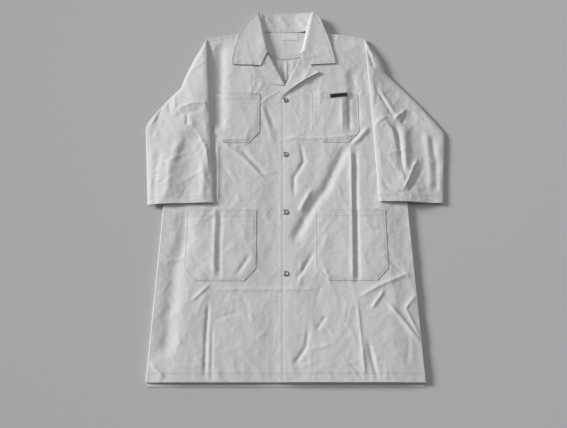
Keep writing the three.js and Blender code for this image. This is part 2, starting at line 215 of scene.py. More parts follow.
def within(xy: np.ndarray, outline: Sequence[Point]) -> np.ndarray:
    """Tells which points are inside a closed outline.

    Args:
        xy: The points, one a row.
        outline: The corners of the outline.

    Returns:
        Whether each point is inside.
    """
    found = np.zeros(len(xy), bool)
    for (ax, ay), (bx, by) in zip(outline, [*outline[1:], outline[0]]):
        crosses = (ay > xy[:, 1]) != (by > xy[:, 1])
        with np.errstate(divide="ignore", invalid="ignore"):
            reach = (bx - ax) * (xy[:, 1] - ay) / (by - ay) + ax
        found ^= crosses & (xy[:, 0] < reach)
    return found


def grain(xy: np.ndarray, size: float, seed: float) -> np.ndarray:
    """Gives smooth noise from about -1 to 1 with lumps of one size."""
    return np.array([noise.noise(Vector((x / size, y / size, seed))) for x, y in xy])


def crumple(xy: np.ndarray, size: float, seed: float) -> np.ndarray:
    """Gives the lift of crumpled cloth: flat faces that meet in sharp edges, from about -1 to 1."""
    spread = (noise.voronoi(Vector((x / size, y / size, seed)))[0] for x, y in xy)
    return np.array([1.6 * math.sqrt(near[0] ** 2 + 0.03) - 0.8 for near in spread])


# ---------------------------------------------------------------- how cloth lies

SKEW = np.array([[0.8, -0.6], [0.6, 0.8]])  # turns the small ridges away from the large ones


@dataclass(frozen=True)
class Crease:
    """A fold that is pressed or fallen into the cloth: a ridge, or a valley where it is negative."""

    path: tuple[Point, ...]
    height: float
    width: float
    fold: Fold = Fold.SOFT

    def lift(self, xy: np.ndarray) -> np.ndarray:
        """Gives the height that the crease adds at each point.

        Args:
            xy: The points, one a row.

        Returns:
            The height at each point.
        """
        corners = np.array(self.path)
        margin = CREASE_REACH * self.width
        near = ((xy > corners.min(0) - margin) & (xy < corners.max(0) + margin)).all(axis=1)
        added = np.zeros(len(xy))
        if not near.any():
            return added
        distance, _, along = nearest(xy[near], self.path)
        length = line_length(self.path)
        fade = smooth(0.12 + np.minimum(along, length - along) / min(0.3 * length, 40.0))
        share = distance / self.width
        profile = np.exp(-share) if self.fold is Fold.PRESSED else np.exp(-share * share)
        added[near] = CREASE_DEPTH * self.height * fade * profile
        return added


@dataclass(frozen=True)
class Dimple:
    """Cloth that is drawn up, or down, round one point, with short puckers that point at it."""

    centre: Point
    height: float
    radius: float
    puckers: float = 0.35

    def lift(self, xy: np.ndarray) -> np.ndarray:
        """Gives the height that it adds at each point.

        Args:
            xy: The points, one a row.

        Returns:
            The height at each point.
        """
        gap = xy - np.array(self.centre)
        distance = np.linalg.norm(gap, axis=1)
        turn = np.arctan2(gap[:, 1], gap[:, 0])
        rays = self.puckers * np.sin(5 * turn + self.centre[1]) * np.exp(-distance / (1.6 * self.radius))
        return self.height * np.exp(-((distance / self.radius) ** 2)) + rays * smooth(distance / 7.0)


def crinkles(low: Point, high: Point, count: int, seed: int, lean: float = 90.0) -> tuple[Crease, ...]:
    """Scatters short sharp wrinkles over a region of worn cloth.

    Args:
        low: The region's lowest corner.
        high: The region's highest corner.
        count: How many wrinkles there are.
        seed: Starts the random draws.
        lean: The direction in degrees that most of them take.

    Returns:
        The wrinkles.
    """
    draw = random.Random(seed)
    made = []
    for _ in range(count):
        x, y = draw.uniform(low[0], high[0]), draw.uniform(low[1], high[1])
        turn = math.radians(draw.gauss(lean, 42.0))
        length, bow = draw.uniform(22.0, 95.0), draw.uniform(-9.0, 9.0)
        run = np.array([math.cos(turn), math.sin(turn)]) * length / 2
        side = np.array([-run[1], run[0]]) / length * bow
        middle = np.array([x, y])
        path = tuple(map(tuple, (middle - run, middle + side, middle + run)))
        height = draw.choice((-1.0, 1.0, 1.0)) * draw.uniform(0.25, 0.85)
        made.append(Crease(path, height, draw.uniform(3.6, 6.5), draw.choice(tuple(Fold))))
    return tuple(made)


@dataclass(frozen=True)
class Seam:
    """A sewn line: a groove under the thread, with the cloth puckered beside it and painted shade along it.
    """

    path: tuple[Point, ...]
    groove: float = 0.55
    groove_width: float = 1.8
    pucker: float = 0.35
    wave: float = 19.0
    reach: float = 11.0
    # how dark the painted shade along the seam is
    shade: float = 0.6

    def lift(self, xy: np.ndarray) -> np.ndarray:
        """Gives the height that the seam adds at each point.

        Args:
            xy: The points, one a row.

        Returns:
            The height at each point.
        """
        distance, _, along = nearest(xy, self.path)
        added = -self.groove * np.exp(-((distance / self.groove_width) ** 2))
        near = distance < 4.0 * self.reach
        if self.pucker and near.any():
            stretched = np.column_stack([along[near], 0.3 * distance[near]])
            ripple = grain(stretched, 0.55 * self.wave, self.groove_width + self.wave)
            added[near] += 1.5 * self.pucker * ripple * np.exp(-distance[near] / self.reach)
        return added

    def mark(self, xy: np.ndarray) -> np.ndarray:
        """Gives how dark the painted shade along the seam is at each point, from 0 to 1."""
        distance, _, _ = nearest(xy, self.path)
        return self.shade * np.exp(-((distance / (1.2 * self.groove_width)) ** 2))


@dataclass
class Lie:
    """How one layer of cloth lies: the height of its upper face over the table."""

    base: Heights
    creases: Sequence[Crease | Dimple] = ()
    seams: Sequence[Seam] = ()
    rumple: float = 0.9
    seed: float = 0.0
    calm: Heights | None = None
    facets: float = 0.0

    def __call__(self, xy: np.ndarray) -> np.ndarray:
        """Gives the height at each point.

        Args:
            xy: The points, one a row.

        Returns:
            The height at each point.
        """
        height = self.base(xy)
        for form in (*self.creases, *self.seams):
            height = height + form.lift(xy)
        if self.rumple:
            swell, ridge, small_ridge, speck = LUMPS
            broad = grain(xy, swell, self.seed)
            bent = xy * (1.0, 0.6) + 16.0 * np.column_stack([broad, -broad])
            ridged = 1.0 - RIDGE_SHARPNESS * np.abs(grain(bent, ridge, self.seed + 5))
            small = 1.0 - RIDGE_SHARPNESS * np.abs(grain(bent @ SKEW, small_ridge, self.seed + 7))
            fine = grain(xy, speck, self.seed + 11)
            a, b, c, d = LUMP_SHARES
            rough = self.rumple * (a * broad + b * ridged + c * small + d * fine)
            if self.facets:
                rough = rough + self.facets * crumple(bent, FACET_SIZE, self.seed + 17)
            height = height + (rough if self.calm is None else rough * self.calm(xy))
        return np.maximum(height, TABLE)


def rolled_edge(distance: np.ndarray, radius: float, drop: float) -> np.ndarray:
    """Gives the fall of cloth that turns down round a folded edge."""
    share = np.clip(1.0 - distance / radius, 0.0, 1.0)
    return -drop * (1.0 - np.sqrt(1.0 - share * share))


# ---------------------------------------------------------------- finishes


class NodeBoard:
    """Adds and links the nodes of one material or group."""

    def __init__(self, tree: bpy.types.NodeTree) -> None:
        """Starts on an empty tree."""
        self.tree = tree
        tree.nodes.clear()

    def add(
        self, kind: str, inputs: dict[str | int, object] | None = None, **options: object,
    ) -> bpy.types.Node:
        """Adds a node.

        Args:
            kind: The node's type, without its ShaderNode prefix.
            inputs: Each input's value, or the socket that feeds it.
            options: The node's own settings.

        Returns:
            The node.
        """
        node = self.tree.nodes.new(kind if kind.startswith("NodeGroup") else "ShaderNode" + kind)
        for name, value in options.items():
            setattr(node, name, value)
        for name, value in (inputs or {}).items():
            if isinstance(value, bpy.types.NodeSocket):
                self.tree.links.new(value, node.inputs[name])
            else:
                node.inputs[name].default_value = value
        return node

    def math(
        self, operation: str, first: object, second: object = 0.0, third: object = 0.0,
    ) -> bpy.types.NodeSocket:
        """Adds a Math node and gives its result."""
        return self.add("Math", {0: first, 1: second, 2: third}, operation=operation).outputs[0]


def new_material(name: str) -> tuple[bpy.types.Material, NodeBoard]:
    """Starts a material.

    Args:
        name: The material's name.

    Returns:
        The material, and the board of its nodes.
    """
    material = bpy.data.materials.new(name)
    material.use_nodes = True
    return material, NodeBoard(material.node_tree)


def new_group(name: str, inputs: dict[str, str], outputs: dict[str, str]) -> tuple[NodeBoard, bpy.types.Node]:
    """Starts a shader node group.

    Args:
        name: The group's name.
        inputs: The type of each input.
        outputs: The type of each output.

    Returns:
        The board of the group, and its input node.
    """
    tree = bpy.data.node_groups.new(name, "ShaderNodeTree")
    board = NodeBoard(tree)
    for way, sockets in (("INPUT", inputs), ("OUTPUT", outputs)):
        for socket, kind in sockets.items():
            tree.interface.new_socket(socket, in_out=way, socket_type="NodeSocket" + kind)
    return board, board.add("NodeGroupInput")


def weave_group() -> bpy.types.NodeTree:
    """Builds the twill weave: a diagonal rib crossed by the weft, with uneven yarn.

    Returns:
        The group.
    """
    board, given = new_group(
        "weave", {"Vector": "Vector", "Pitch": "Float"}, {"Height": "Float", "Yarn": "Float"},
    )
    place = given.outputs["Vector"]
    warp = board.add("TexNoise", {"Vector": place, "Scale": 900.0, "Detail": 2.0})
    rib, weft = (
        board.add(
            "TexWave", {"Vector": place, "Scale": given.outputs["Pitch"], "Distortion": distortion},
            bands_direction=way,
        )
        for way, distortion in (("DIAGONAL", 0.6), ("Y", 0.3))
    )
    both = board.math("MULTIPLY_ADD", weft.outputs["Fac"], 0.35, rib.outputs["Fac"])
    height = board.math("MULTIPLY_ADD", warp.outputs["Fac"], 0.5, both)
    board.add("NodeGroupOutput", {"Height": height, "Yarn": warp.outputs["Fac"]})
    return board.tree


def handling_group() -> bpy.types.NodeTree:
    """Builds the greying of the cloth: broad random mottling, and painted shade along seams and cut edges.

    Returns:
        The group.
    """
    board, given = new_group(
        "handling",
        {"Vector": "Vector", "Seam": "Float", "Depth": "Float"},
        {"Shade": "Float", "Crush": "Float"},
    )
    place = given.outputs["Vector"]
    cloud = board.add("TexNoise", {"Vector": place, "Scale": 5.0, "Detail": 4.0})
    speck = board.add("TexNoise", {"Vector": place, "Scale": 210.0, "Detail": 3.0})
    crush = board.add("TexNoise", {"Vector": place, "Scale": 75.0, "Detail": 5.0, "Roughness": 0.62})
    # painted shade along seams and cut edges, made uneven by fine speckle
    uneven = board.math("MULTIPLY_ADD", speck.outputs["Fac"], 0.8, 0.6)
    seam = board.math("MULTIPLY", given.outputs["Seam"], uneven)
    # broad random mottling of the cloth's own tone
    broad = board.math("MULTIPLY", cloud.outputs["Fac"], 0.4)
    both = board.math("MULTIPLY", board.math("ADD", seam, broad), given.outputs["Depth"])
    board.add("NodeGroupOutput", {"Shade": both, "Crush": crush.outputs["Fac"]})
    return board.tree


@dataclass(frozen=True)
class ClothFinish:
    """A woven cloth: its colour, how far it greys with random mottling and painted shade along seams and cut
    edges, its ribs and its nap.
    """

    name: str
    colour: tuple[float, float, float]
    # the colour that the mottling and the painted shade darken towards
    grey: tuple[float, float, float]
    # how strongly the mottling and the painted shade along seams and edges darken the colour
    depth: float = 0.34
    roughness: float = 0.88
    rib_scale: float = 740.0
    nap: float = 0.25

    def build(self, weave: bpy.types.NodeTree, handling: bpy.types.NodeTree) -> bpy.types.Material:
        """Builds the material.

        Args:
            weave: The weave group.
            handling: The group of random mottling and painted shade along seams and cut edges.

        Returns:
            The material.
        """
        material, board = new_material(self.name)
        place = board.add("UVMap", uv_map="cut").outputs["UV"]
        # the seam attribute holds the painted shade along seams and cut edges
        seam = board.add("Attribute", attribute_name="seam").outputs["Fac"]
        ribs = board.add("Group", {"Vector": place, "Pitch": self.rib_scale}, node_tree=weave)
        mottle_and_shade = board.add("Group", {"Vector": place, "Seam": seam, "Depth": self.depth}, node_tree=handling)
        # darkens the colour towards grey by the mottling and the painted shade
        tint = board.add(
            "Mix", {0: mottle_and_shade.outputs["Shade"], 6: (*self.colour, 1.0), 7: (*self.grey, 1.0)}, data_type="RGBA",
        )
        crush = board.add("Bump", {"Height": mottle_and_shade.outputs["Crush"], "Strength": 0.75, "Distance": 0.0015})
        fine = board.add("Bump", {
            "Height": ribs.outputs["Height"], "Strength": 0.35, "Distance": 0.00008,
            "Normal": crush.outputs["Normal"],
        })
        rough = board.math("MULTIPLY_ADD", ribs.outputs["Yarn"], 0.12, self.roughness - 0.06)
        shader = board.add("BsdfPrincipled", {
            "Base Color": tint.outputs[2], "Roughness": rough, "Normal": fine.outputs["Normal"],
            "Sheen Weight": self.nap, "Specular IOR Level": 0.25,
        })
        board.add("OutputMaterial", {"Surface": shader.outputs["BSDF"]})
        return material


@dataclass(frozen=True)
class MetalFinish:
    """Plated metal of a snap: brushed, lightly scratched, and darker in random patches."""

    name: str
    colour: tuple[float, float, float]
    roughness: float = 0.28

    def build(self) -> bpy.types.Material:
        """Builds the material.

        Returns:
            The material.
        """
        material, board = new_material(self.name)
        place = board.add("TexCoord").outputs["Object"]
        scratch = board.add("TexNoise", {"Vector": place, "Scale": 2600.0, "Detail": 4.0, "Distortion": 2.0})
        patch = board.add("TexNoise", {"Vector": place, "Scale": 420.0, "Detail": 2.0})
        dark = tuple(c * 0.55 for c in self.colour)
        tint = board.add(
            "Mix", {0: patch.outputs["Fac"], 6: (*self.colour, 1.0), 7: (*dark, 1.0)}, data_type="RGBA",
        )
        bump = board.add("Bump", {"Height": scratch.outputs["Fac"], "Strength": 0.2, "Distance": 0.00004})
        rough = board.math("MULTIPLY_ADD", scratch.outputs["Fac"], 0.22, self.roughness - 0.1)
        shader = board.add("BsdfPrincipled", {
            "Base Color": tint.outputs[2], "Metallic": 1.0, "Roughness": rough,
            "Normal": bump.outputs["Normal"],
        })
        board.add("OutputMaterial", {"Surface": shader.outputs["BSDF"]})
        return material


WHITE_TWILL = ClothFinish("white_twill", (0.80, 0.80, 0.795), (0.42, 0.42, 0.42))
SEWING_THREAD = ClothFinish("sewing_thread", (0.77, 0.77, 0.77), (0.45, 0.45, 0.45), 0.4, 0.7, 1500.0, 0.1)
TAG_SATIN = ClothFinish("neck_tag_satin", (0.90, 0.90, 0.88), (0.55, 0.55, 0.55), 0.4, 0.55, 1400.0, 0.4)
TAG_BLACK = ClothFinish("chest_tag_black", (0.014, 0.014, 0.016), (0.06, 0.06, 0.065), 0.6, 0.7, 1100.0, 0.1)
SNAP_NICKEL = MetalFinish("snap_nickel", (0.44, 0.44, 0.45))


@dataclass
class Finishes:
    """Every finish of the coat, built once."""

    cloth: bpy.types.Material = field(init=False)
    thread: bpy.types.Material = field(init=False)
    neck_tag: bpy.types.Material = field(init=False)
    chest_tag: bpy.types.Material = field(init=False)
    snap: bpy.types.Material = field(init=False)

    def __post_init__(self) -> None:
        """Builds the shared groups and the materials."""
        weave, handling = weave_group(), handling_group()
        woven = (WHITE_TWILL, SEWING_THREAD, TAG_SATIN, TAG_BLACK)
        made = [finish.build(weave, handling) for finish in woven]
        self.cloth, self.thread, self.neck_tag, self.chest_tag = made
        self.snap = SNAP_NICKEL.build()


# ---------------------------------------------------------------- sheets of cloth


@dataclass
class Cut:
    """A flat piece of cloth: points, triangles, and how dark the painted shade along its seams and cut edge
    is at each point.
    """

    xy: np.ndarray
    triangles: list[tuple[int, ...]]
    marks: np.ndarray


def cut_cloth(outline: Sequence[Point], spacing: float, seams: Sequence[Seam] = ()) -> Cut:
    """Cuts a panel and divides it into triangles, with finer rows of points along its seams.

    Args:
        outline: The corners of the panel.
        spacing: The distance between its points.
        seams: Sewn lines on it.

    Returns:
        The panel.
    """
    ring = [*outline, outline[0]]
    edge = walk(outline, spacing, closed=True)
    rows = [np.zeros((0, 2))]
    for seam in seams:
        middle = walk(seam.path, 0.8 * spacing)
        rows += [shifted(middle, seam.groove_width * k) for k in (-1.0, 0.0, 1.0)]
    sewn = np.concatenate(rows)
    sewn = sewn[within(sewn, outline) & (nearest(sewn, ring)[0] > 0.3 * spacing)] if len(sewn) else sewn
    low, high = edge.min(0), edge.max(0)
    step = np.array([spacing, spacing * math.sqrt(3) / 2])
    across, up = (np.arange(low[i], high[i] + step[i], step[i]) for i in (0, 1))
    field_xy = np.array([(x + (row % 2) * spacing / 2, y) for row, y in enumerate(up) for x in across])
    keep = within(field_xy, outline) & (nearest(field_xy, ring)[0] > 0.55 * spacing)
    for seam in seams:
        keep &= nearest(field_xy, seam.path)[0] > seam.groove_width + 0.45 * spacing
    points = np.concatenate([edge, sewn, field_xy[keep]])
    made = delaunay_2d_cdt([Vector(p) for p in points], [], [list(range(len(edge)))], 1, 1e-3)
    xy = np.array([tuple(v) for v in made[0]])
    triangles = []
    for face in made[2]:
        a, b, c = (xy[i] for i in face[:3])
        turn = (b[0] - a[0]) * (c[1] - a[1]) - (b[1] - a[1]) * (c[0] - a[0])
        triangles.append(tuple(face) if turn > 0 else tuple(reversed(face)))
    # painted shade along the seams, and along the cut edge where the layer's rim throws a shadow
    marks = np.zeros(len(xy))
    for seam in seams:
        marks = np.maximum(marks, seam.mark(xy))
    marks = np.maximum(marks, EDGE_PAINTED_SHADE * np.exp(-nearest(xy, ring)[0] / EDGE_REACH))
    return Cut(xy, triangles, marks)


def to_frame(xy: np.ndarray, heights: np.ndarray) -> np.ndarray:
    """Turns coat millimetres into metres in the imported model's frame."""
    return np.column_stack([xy[:, 0] + SNAP_LINE, xy[:, 1] + HEM_LINE, heights]) * MM


def activate(piece: bpy.types.Object) -> None:
    """Deselects everything and makes one object the active one.

    Args:
        piece: The object.
    """
    bpy.ops.object.select_all(action="DESELECT")
    bpy.context.view_layer.objects.active = piece
    piece.select_set(True)


def new_mesh(
    name: str,
    points: np.ndarray,
    faces: Sequence[tuple[int, ...]],
    place: np.ndarray,
    marks: np.ndarray,
    material: bpy.types.Material,
) -> bpy.types.Object:
    """Makes a mesh object with the cut's own map and painted shade along seams and cut edges.

    Args:
        name: The piece's name.
        points: Its points, in metres in the frame.
        faces: Its faces, seen from outside.
        place: Each point's place on the flat cut, in metres.
        marks: How dark the painted shade along seams and cut edges is at each point.
        material: Its finish.

    Returns:
        The object.
    """
    mesh = bpy.data.meshes.new(name)
    mesh.from_pydata(points.tolist(), [], faces)
    # the seam attribute holds the painted shade along seams and cut edges
    mesh.attributes.new("seam", "FLOAT", "POINT").data.foreach_set("value", marks.astype(np.float32))
    corners = np.zeros(len(mesh.loops), np.int32)
    mesh.loops.foreach_get("vertex_index", corners)
    mesh.uv_layers.new(name="cut").data.foreach_set("uv", place[corners].astype(np.float32).ravel())
    mesh.materials.append(material)
    mesh.shade_smooth()
    piece = bpy.data.objects.new(name, mesh)
    bpy.context.scene.collection.objects.link(piece)
    return piece


def thicken(piece: bpy.types.Object, thickness: float) -> None:
    """Gives a sheet its thickness, under its upper face, and keeps its cut edge crisp.

    Args:
        piece: The sheet.
        thickness: In millimetres.
    """
    activate(piece)
    solid = piece.modifiers.new("thickness", "SOLIDIFY")
    solid.thickness = thickness * MM
    solid.offset = -1.0
    bpy.ops.object.modifier_apply(modifier=solid.name)
    bpy.ops.object.shade_smooth_by_angle(angle=CRISP)


@dataclass
class Hold:
    """What a piece is held by: one body, which it is attached to, or two with the fold line between them,
    which are only recorded.
    """

    body: str
    second: str = ""
    start: tuple[float, float, float] = (0.0, 0.0, 0.0)
    end: tuple[float, float, float] = (0.0, 0.0, 0.0)

    def attach(self, piece: bpy.types.Object) -> None:
        """Attaches a finished piece to its one body, or only applies its transform where it has two.

        Args:
            piece: The piece.
        """
        if self.second:
            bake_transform(piece)
        else:
            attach(piece, self.body)

    @staticmethod
    def across(body: str, second: str, middle: Point, outwards: Point, reach: float) -> "Hold":
        """Makes a hold with a body on each side of a line, and records the line's ends.

        Args:
            body: The body on the outer side.
            second: The body on the inner side.
            middle: A point on the line.
            outwards: The direction from the line to the first body.
            reach: How far to each side of the line its recorded ends lie.

        Returns:
            The hold.
        """
        way = np.array(outwards) / np.linalg.norm(outwards)
        ends = [np.array(middle) + way * reach * k for k in (1.0, -1.0)]
        first, last = (tuple(to_frame(p[None, :], np.zeros(1))[0]) for p in ends)
        return Hold(body, second, first, last)


@dataclass
class Panel:
    """One sheet of cloth in the coat."""

    name: str
    outline: Sequence[Point]
    lie: Heights
    hold: Hold
    nodes: Sequence[str] = ()
    seams: Sequence[Seam] = ()
    spacing: float = 5.0
    thickness: float = 0.8
    held: str = "laid"
    rests_on: Sequence[str] = ()
    slot: str = "cloth"

    def make(self, material: bpy.types.Material) -> bpy.types.Object:
        """Args:
            material: Its finish.

        Returns:
            The piece.
        """
        cut = cut_cloth(self.outline, self.spacing, self.seams)
        points = to_frame(cut.xy, self.lie(cut.xy))
        piece = new_mesh(self.name, points, cut.triangles, cut.xy * MM, cut.marks, material)
        thicken(piece, self.thickness)
        self.hold.attach(piece)
        if self.nodes:
            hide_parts(*self.nodes)
        return piece


@dataclass
class Stitching:
    """A row of stitches along each of several lines, joined as one piece."""

    name: str
    lines: Sequence[Sequence[Point]]
    lie: Heights
    hold: Hold
    pitch: float = 3.4
    length: float = 2.5
    girth: float = 0.36
    sunk: float = 0.1
    proud: float = 0.12

    def make(self, material: bpy.types.Material) -> bpy.types.Object:
        """Sews the rows.

        Args:
            material: The thread.

        Returns:
            The piece.
        """
        centres, runs = [], []
        for line in self.lines:
            points = walk(line, self.pitch)
            if len(points) < 3:
                continue
            centres.append((points[1:] + points[:-1]) / 2)
            step = points[1:] - points[:-1]
            runs.append(step / np.linalg.norm(step, axis=1)[:, None])
        centre, run = np.concatenate(centres), np.concatenate(runs)
        across = np.stack([-run[:, 1], run[:, 0]], axis=1) * self.girth
        tips = [centre - run * self.length / 2, centre + run * self.length / 2]
        body = [centre + across, centre - across]
        level = self.lie(centre)
        ends = [to_frame(p, self.lie(p) + 0.02) for p in tips]
        flanks = [to_frame(p, level + self.proud) for p in body]
        crown = to_frame(centre, level + self.proud + self.girth)
        keel = to_frame(centre, level - self.sunk)
        corners = np.stack([ends[0], ends[1], flanks[0], flanks[1], crown, keel], axis=1).reshape(-1, 3)
        shape = ((0, 3, 4), (3, 1, 4), (1, 2, 4), (2, 0, 4), (3, 0, 5), (1, 3, 5), (2, 1, 5), (0, 2, 5))
        faces = [tuple(6 * i + k for k in face) for i in range(len(centre)) for face in shape]
        place = np.repeat(centre, 6, axis=0) * MM
        piece = new_mesh(self.name, corners, faces, place, np.zeros(len(corners)), material)
        self.hold.attach(piece)
        LOG.info("%s: %d stitches", self.name, len(centre))
        return piece


@dataclass
class TurnedFold:
    """A strip of cloth that turns from the lower layer to the upper one round a folded side.

    It laps under the upper layer and over the lower one, as the seam allowances do.
    """

    name: str
    line: Sequence[Point]
    low: Heights
    high: Heights
    bulge: float
    nodes: Sequence[str]
    rests_on: Sequence[str] = ()
    body: str = "root"
    tuck: tuple[float, float] = (0.3, 0.9)
    thickness: float = 0.6
    lap: float = 4.0
    steps: int = 8
    pitch: float = 6.0

    def make(self, material: bpy.types.Material) -> bpy.types.Object:
        """Makes the strip. Its line runs with the coat on its left.

        Args:
            material: The cloth.

        Returns:
            The piece.
        """
        path = walk(self.line, self.pitch)
        low, high = self.low(path) + self.tuck[0], self.high(path) - self.tuck[1]
        outwards = path - shifted(path, 1.0)
        rows = [to_frame(path - outwards * self.lap, low)]
        for angle in np.linspace(-math.pi / 2, math.pi / 2, self.steps + 1):
            middle = (low + high) / 2 + (high - low) / 2 * math.sin(angle)
            rows.append(to_frame(path + outwards * self.bulge * math.cos(angle), middle))
        rows.append(to_frame(path - outwards * self.lap, high))
        count = len(path)
        faces = [
            (row * count + i, row * count + i + 1, (row + 1) * count + i + 1, (row + 1) * count + i)
            for row in range(len(rows) - 1) for i in range(count - 1)
        ]
        half = float(np.mean(high - low)) / 2
        girth = 2 * self.lap + math.pi * math.sqrt((half**2 + self.bulge**2) / 2)
        length = line_length(self.line)
        along = np.linspace(0.0, length, count)
        rises = np.linspace(0.0, girth, len(rows))
        place = np.concatenate([np.stack([along, np.full(count, rise)], axis=1) for rise in rises]) * MM
        points = np.concatenate(rows)
        piece = new_mesh(self.name, points, faces, place, np.zeros(len(points)), material)
        thicken(piece, self.thickness)
        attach(piece, self.body)
        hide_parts(*self.nodes)
        LOG.info("%s: folded strip %.1f x %.0f mm", self.name, girth, length)
        return piece


# ---------------------------------------------------------------- the pattern and its creases


@dataclass
class Pattern:
    """Lines of the coat for the wearer's left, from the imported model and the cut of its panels."""

    waist: Point = (331.0, 470.0)
    armhole_pull: Point = (240.0, 793.0)
    v_bottom: Point = (0.0, 839.0)
    gorge_inner: Point = (52.0, 951.0)
    gorge_outer: Point = (73.0, 906.0)
    lapel_tip: Point = (99.0, 880.0)
    lapel_belly: Point = (33.0, 843.0)
    break_height: float = 797.0
    collar_outer: Point = (113.0, 1041.0)
    collar_tip: Point = (146.0, 914.0)
    shoulder_height: float = 1000.0
    side_allowance: float = 4.0
    fold_top_across: float = 101.0
    fold_reach: float = 15.0
    hem: Point = field(init=False)
    armpit: Point = field(init=False)
    shoulder: Point = field(init=False)
    neck: Point = field(init=False)
    roll_top: Point = field(init=False)
    fold_top: Point = field(init=False)
    fold_hem: Point = field(init=False)
    back_hem: float = field(init=False)

    def __post_init__(self) -> None:
        """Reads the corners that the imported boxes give."""
        side, shoulder = box_mm("left_side_seam"), box_mm("left_shoulder_seam")
        collar, front = box_mm("collar_back"), box_mm("left_front")
        self.hem = (side[3], side[1])
        self.armpit = (side[0] + self.side_allowance, side[4])
        self.shoulder = (shoulder[3], self.shoulder_height)
        self.neck = (collar[3], shoulder[4])
        self.roll_top = (collar[3], collar[4])
        self.fold_hem = (front[3], front[1])
        self.fold_top = (self.fold_top_across, self.gorge_outer[1])
        self.back_hem = box_mm("back_left")[1]

    def side_line(self) -> list[Point]:
        """Gives the side seam from the hem to the armpit."""
        return [self.hem, self.waist, self.armpit]

    def armhole(self) -> list[Point]:
        """Gives the armhole from the armpit to the shoulder point."""
        return bend(self.armpit, self.armhole_pull, self.shoulder)

    def outer_edge(self) -> list[Point]:
        """Gives the edge from the hem up the side and the armhole, and along the shoulder to the neck."""
        return [*self.side_line(), *self.armhole()[1:], self.neck]

    def fold_hold(self, side: Side) -> Hold:
        """Gives the hold of cloth across the line where a front folds back.

        Args:
            side: The wearer's left or right.

        Returns:
            The hold.
        """
        low, high = np.array(self.fold_hem), np.array(self.fold_top)
        run = (high - low) / np.linalg.norm(high - low)
        middle, outwards = (low + high) / 2, (run[1], -run[0])
        return Hold.across(
            "root", side.word + "_front", (middle[0] * side.value, middle[1]),
            (outwards[0] * side.value, outwards[1]), self.fold_reach,
        )


def onto(side: Side, line: Sequence[Point]) -> list[Point]:
    """Moves a line that is drawn for the wearer's left to a side."""
    return [(x * side.value, y) for x, y in line]


BODY_CREASES = (
    # pressed in when the coat was folded for storage
    Crease(((-195, 665), (-100, 668)), 1.7, 3.6, Fold.PRESSED),
    Crease(((-15, 668), (120, 668), (229, 682)), 1.7, 3.6, Fold.PRESSED),
    Crease(((-186, 235), (-40, 236), (84, 235)), 1.5, 3.6, Fold.PRESSED),
    Crease(((-192, 668), (-187, 560), (-185, 465)), 2.1, 3.6, Fold.PRESSED),
    Crease(((-191, 465), (-190, 360), (-189, 256)), 2.2, 3.6, Fold.PRESSED),
    Crease(((-175, 460), (-176, 360), (-175, 256)), -1.8, 5.4),
    Crease(((-200, 207), (-203, 110), (-202, 7)), -2.2, 4.8),
    Crease(((-188, 145), (-185, 3)), -1.1, 3.6),
    Crease(((163, 810), (160, 677)), 2.1, 4.2, Fold.PRESSED),
    Crease(((182, 810), (182, 680)), -2.7, 6.6),
    Crease(((182, 646), (179, 465), (174, 250)), 2.5, 3.6, Fold.PRESSED),
    Crease(((197, 640), (191, 440), (188, 250)), -2.5, 5.4),
    Crease(((184, 213), (190, 120), (198, 12)), 2.1, 3.6, Fold.PRESSED),
    Crease(((207, 106), (228, 2)), -2.0, 5.4),
    Crease(((-103, 880), (-101, 819)), 0.9, 2.4, Fold.PRESSED),
    # beside the sleeves
    Crease(((-193, 990), (-192, 840), (-188, 690)), -4.6, 18.0),
    Crease(((193, 900), (196, 780), (205, 700)), -3.2, 15.0),
    Crease(((182, 646), (208, 668), (238, 706)), 3.1, 6.6),
    # fallen across the body
    Crease(((-189, 668), (-120, 612), (-55, 542)), 2.2, 5.4, Fold.PRESSED),
    Crease(((-132, 645), (-53, 554)), -2.0, 7.2),
    Crease(((-71, 796), (-50, 715), (-33, 646)), 1.2, 7.0),
    Crease(((-65, 784), (-27, 696)), -1.2, 7.0),
    Crease(((170, 651), (111, 518), (72, 466), (17, 359)), -4.0, 13.0),
    Crease(((73, 518), (34, 443)), 2.5, 6.0),
    Crease(((41, 658), (51, 597), (23, 548), (23, 489)), -2.2, 6.0),
    # lower body
    Crease(((-277, 460), (-270, 377), (-292, 293), (-304, 61)), -4.4, 21.0),
    Crease(((-247, 202), (-196, 250)), 1.7, 4.2),
    Crease(((-93, 332), (-129, 272)), -1.8, 4.8),
    Crease(((75, 337), (27, 256)), -2.0, 5.4),
    Crease(((186, 213), (255, 250), (331, 282)), 2.5, 4.8, Fold.PRESSED),
    Crease(((257, 235), (218, 181)), 2.0, 4.2),
    Crease(((258, 207), (303, 150), (346, 91)), 2.5, 5.4),
    Crease(((343, 229), (309, 186), (345, 101)), 2.3, 4.2, Fold.PRESSED),
    Crease(((104, 166), (77, 127)), -1.4, 4.8),
    Crease(((57, 137), (51, 86), (15, 36)), -2.0, 5.4),
    Crease(((-342, 50), (-300, 7)), 2.7, 7.2, Fold.PRESSED),
)

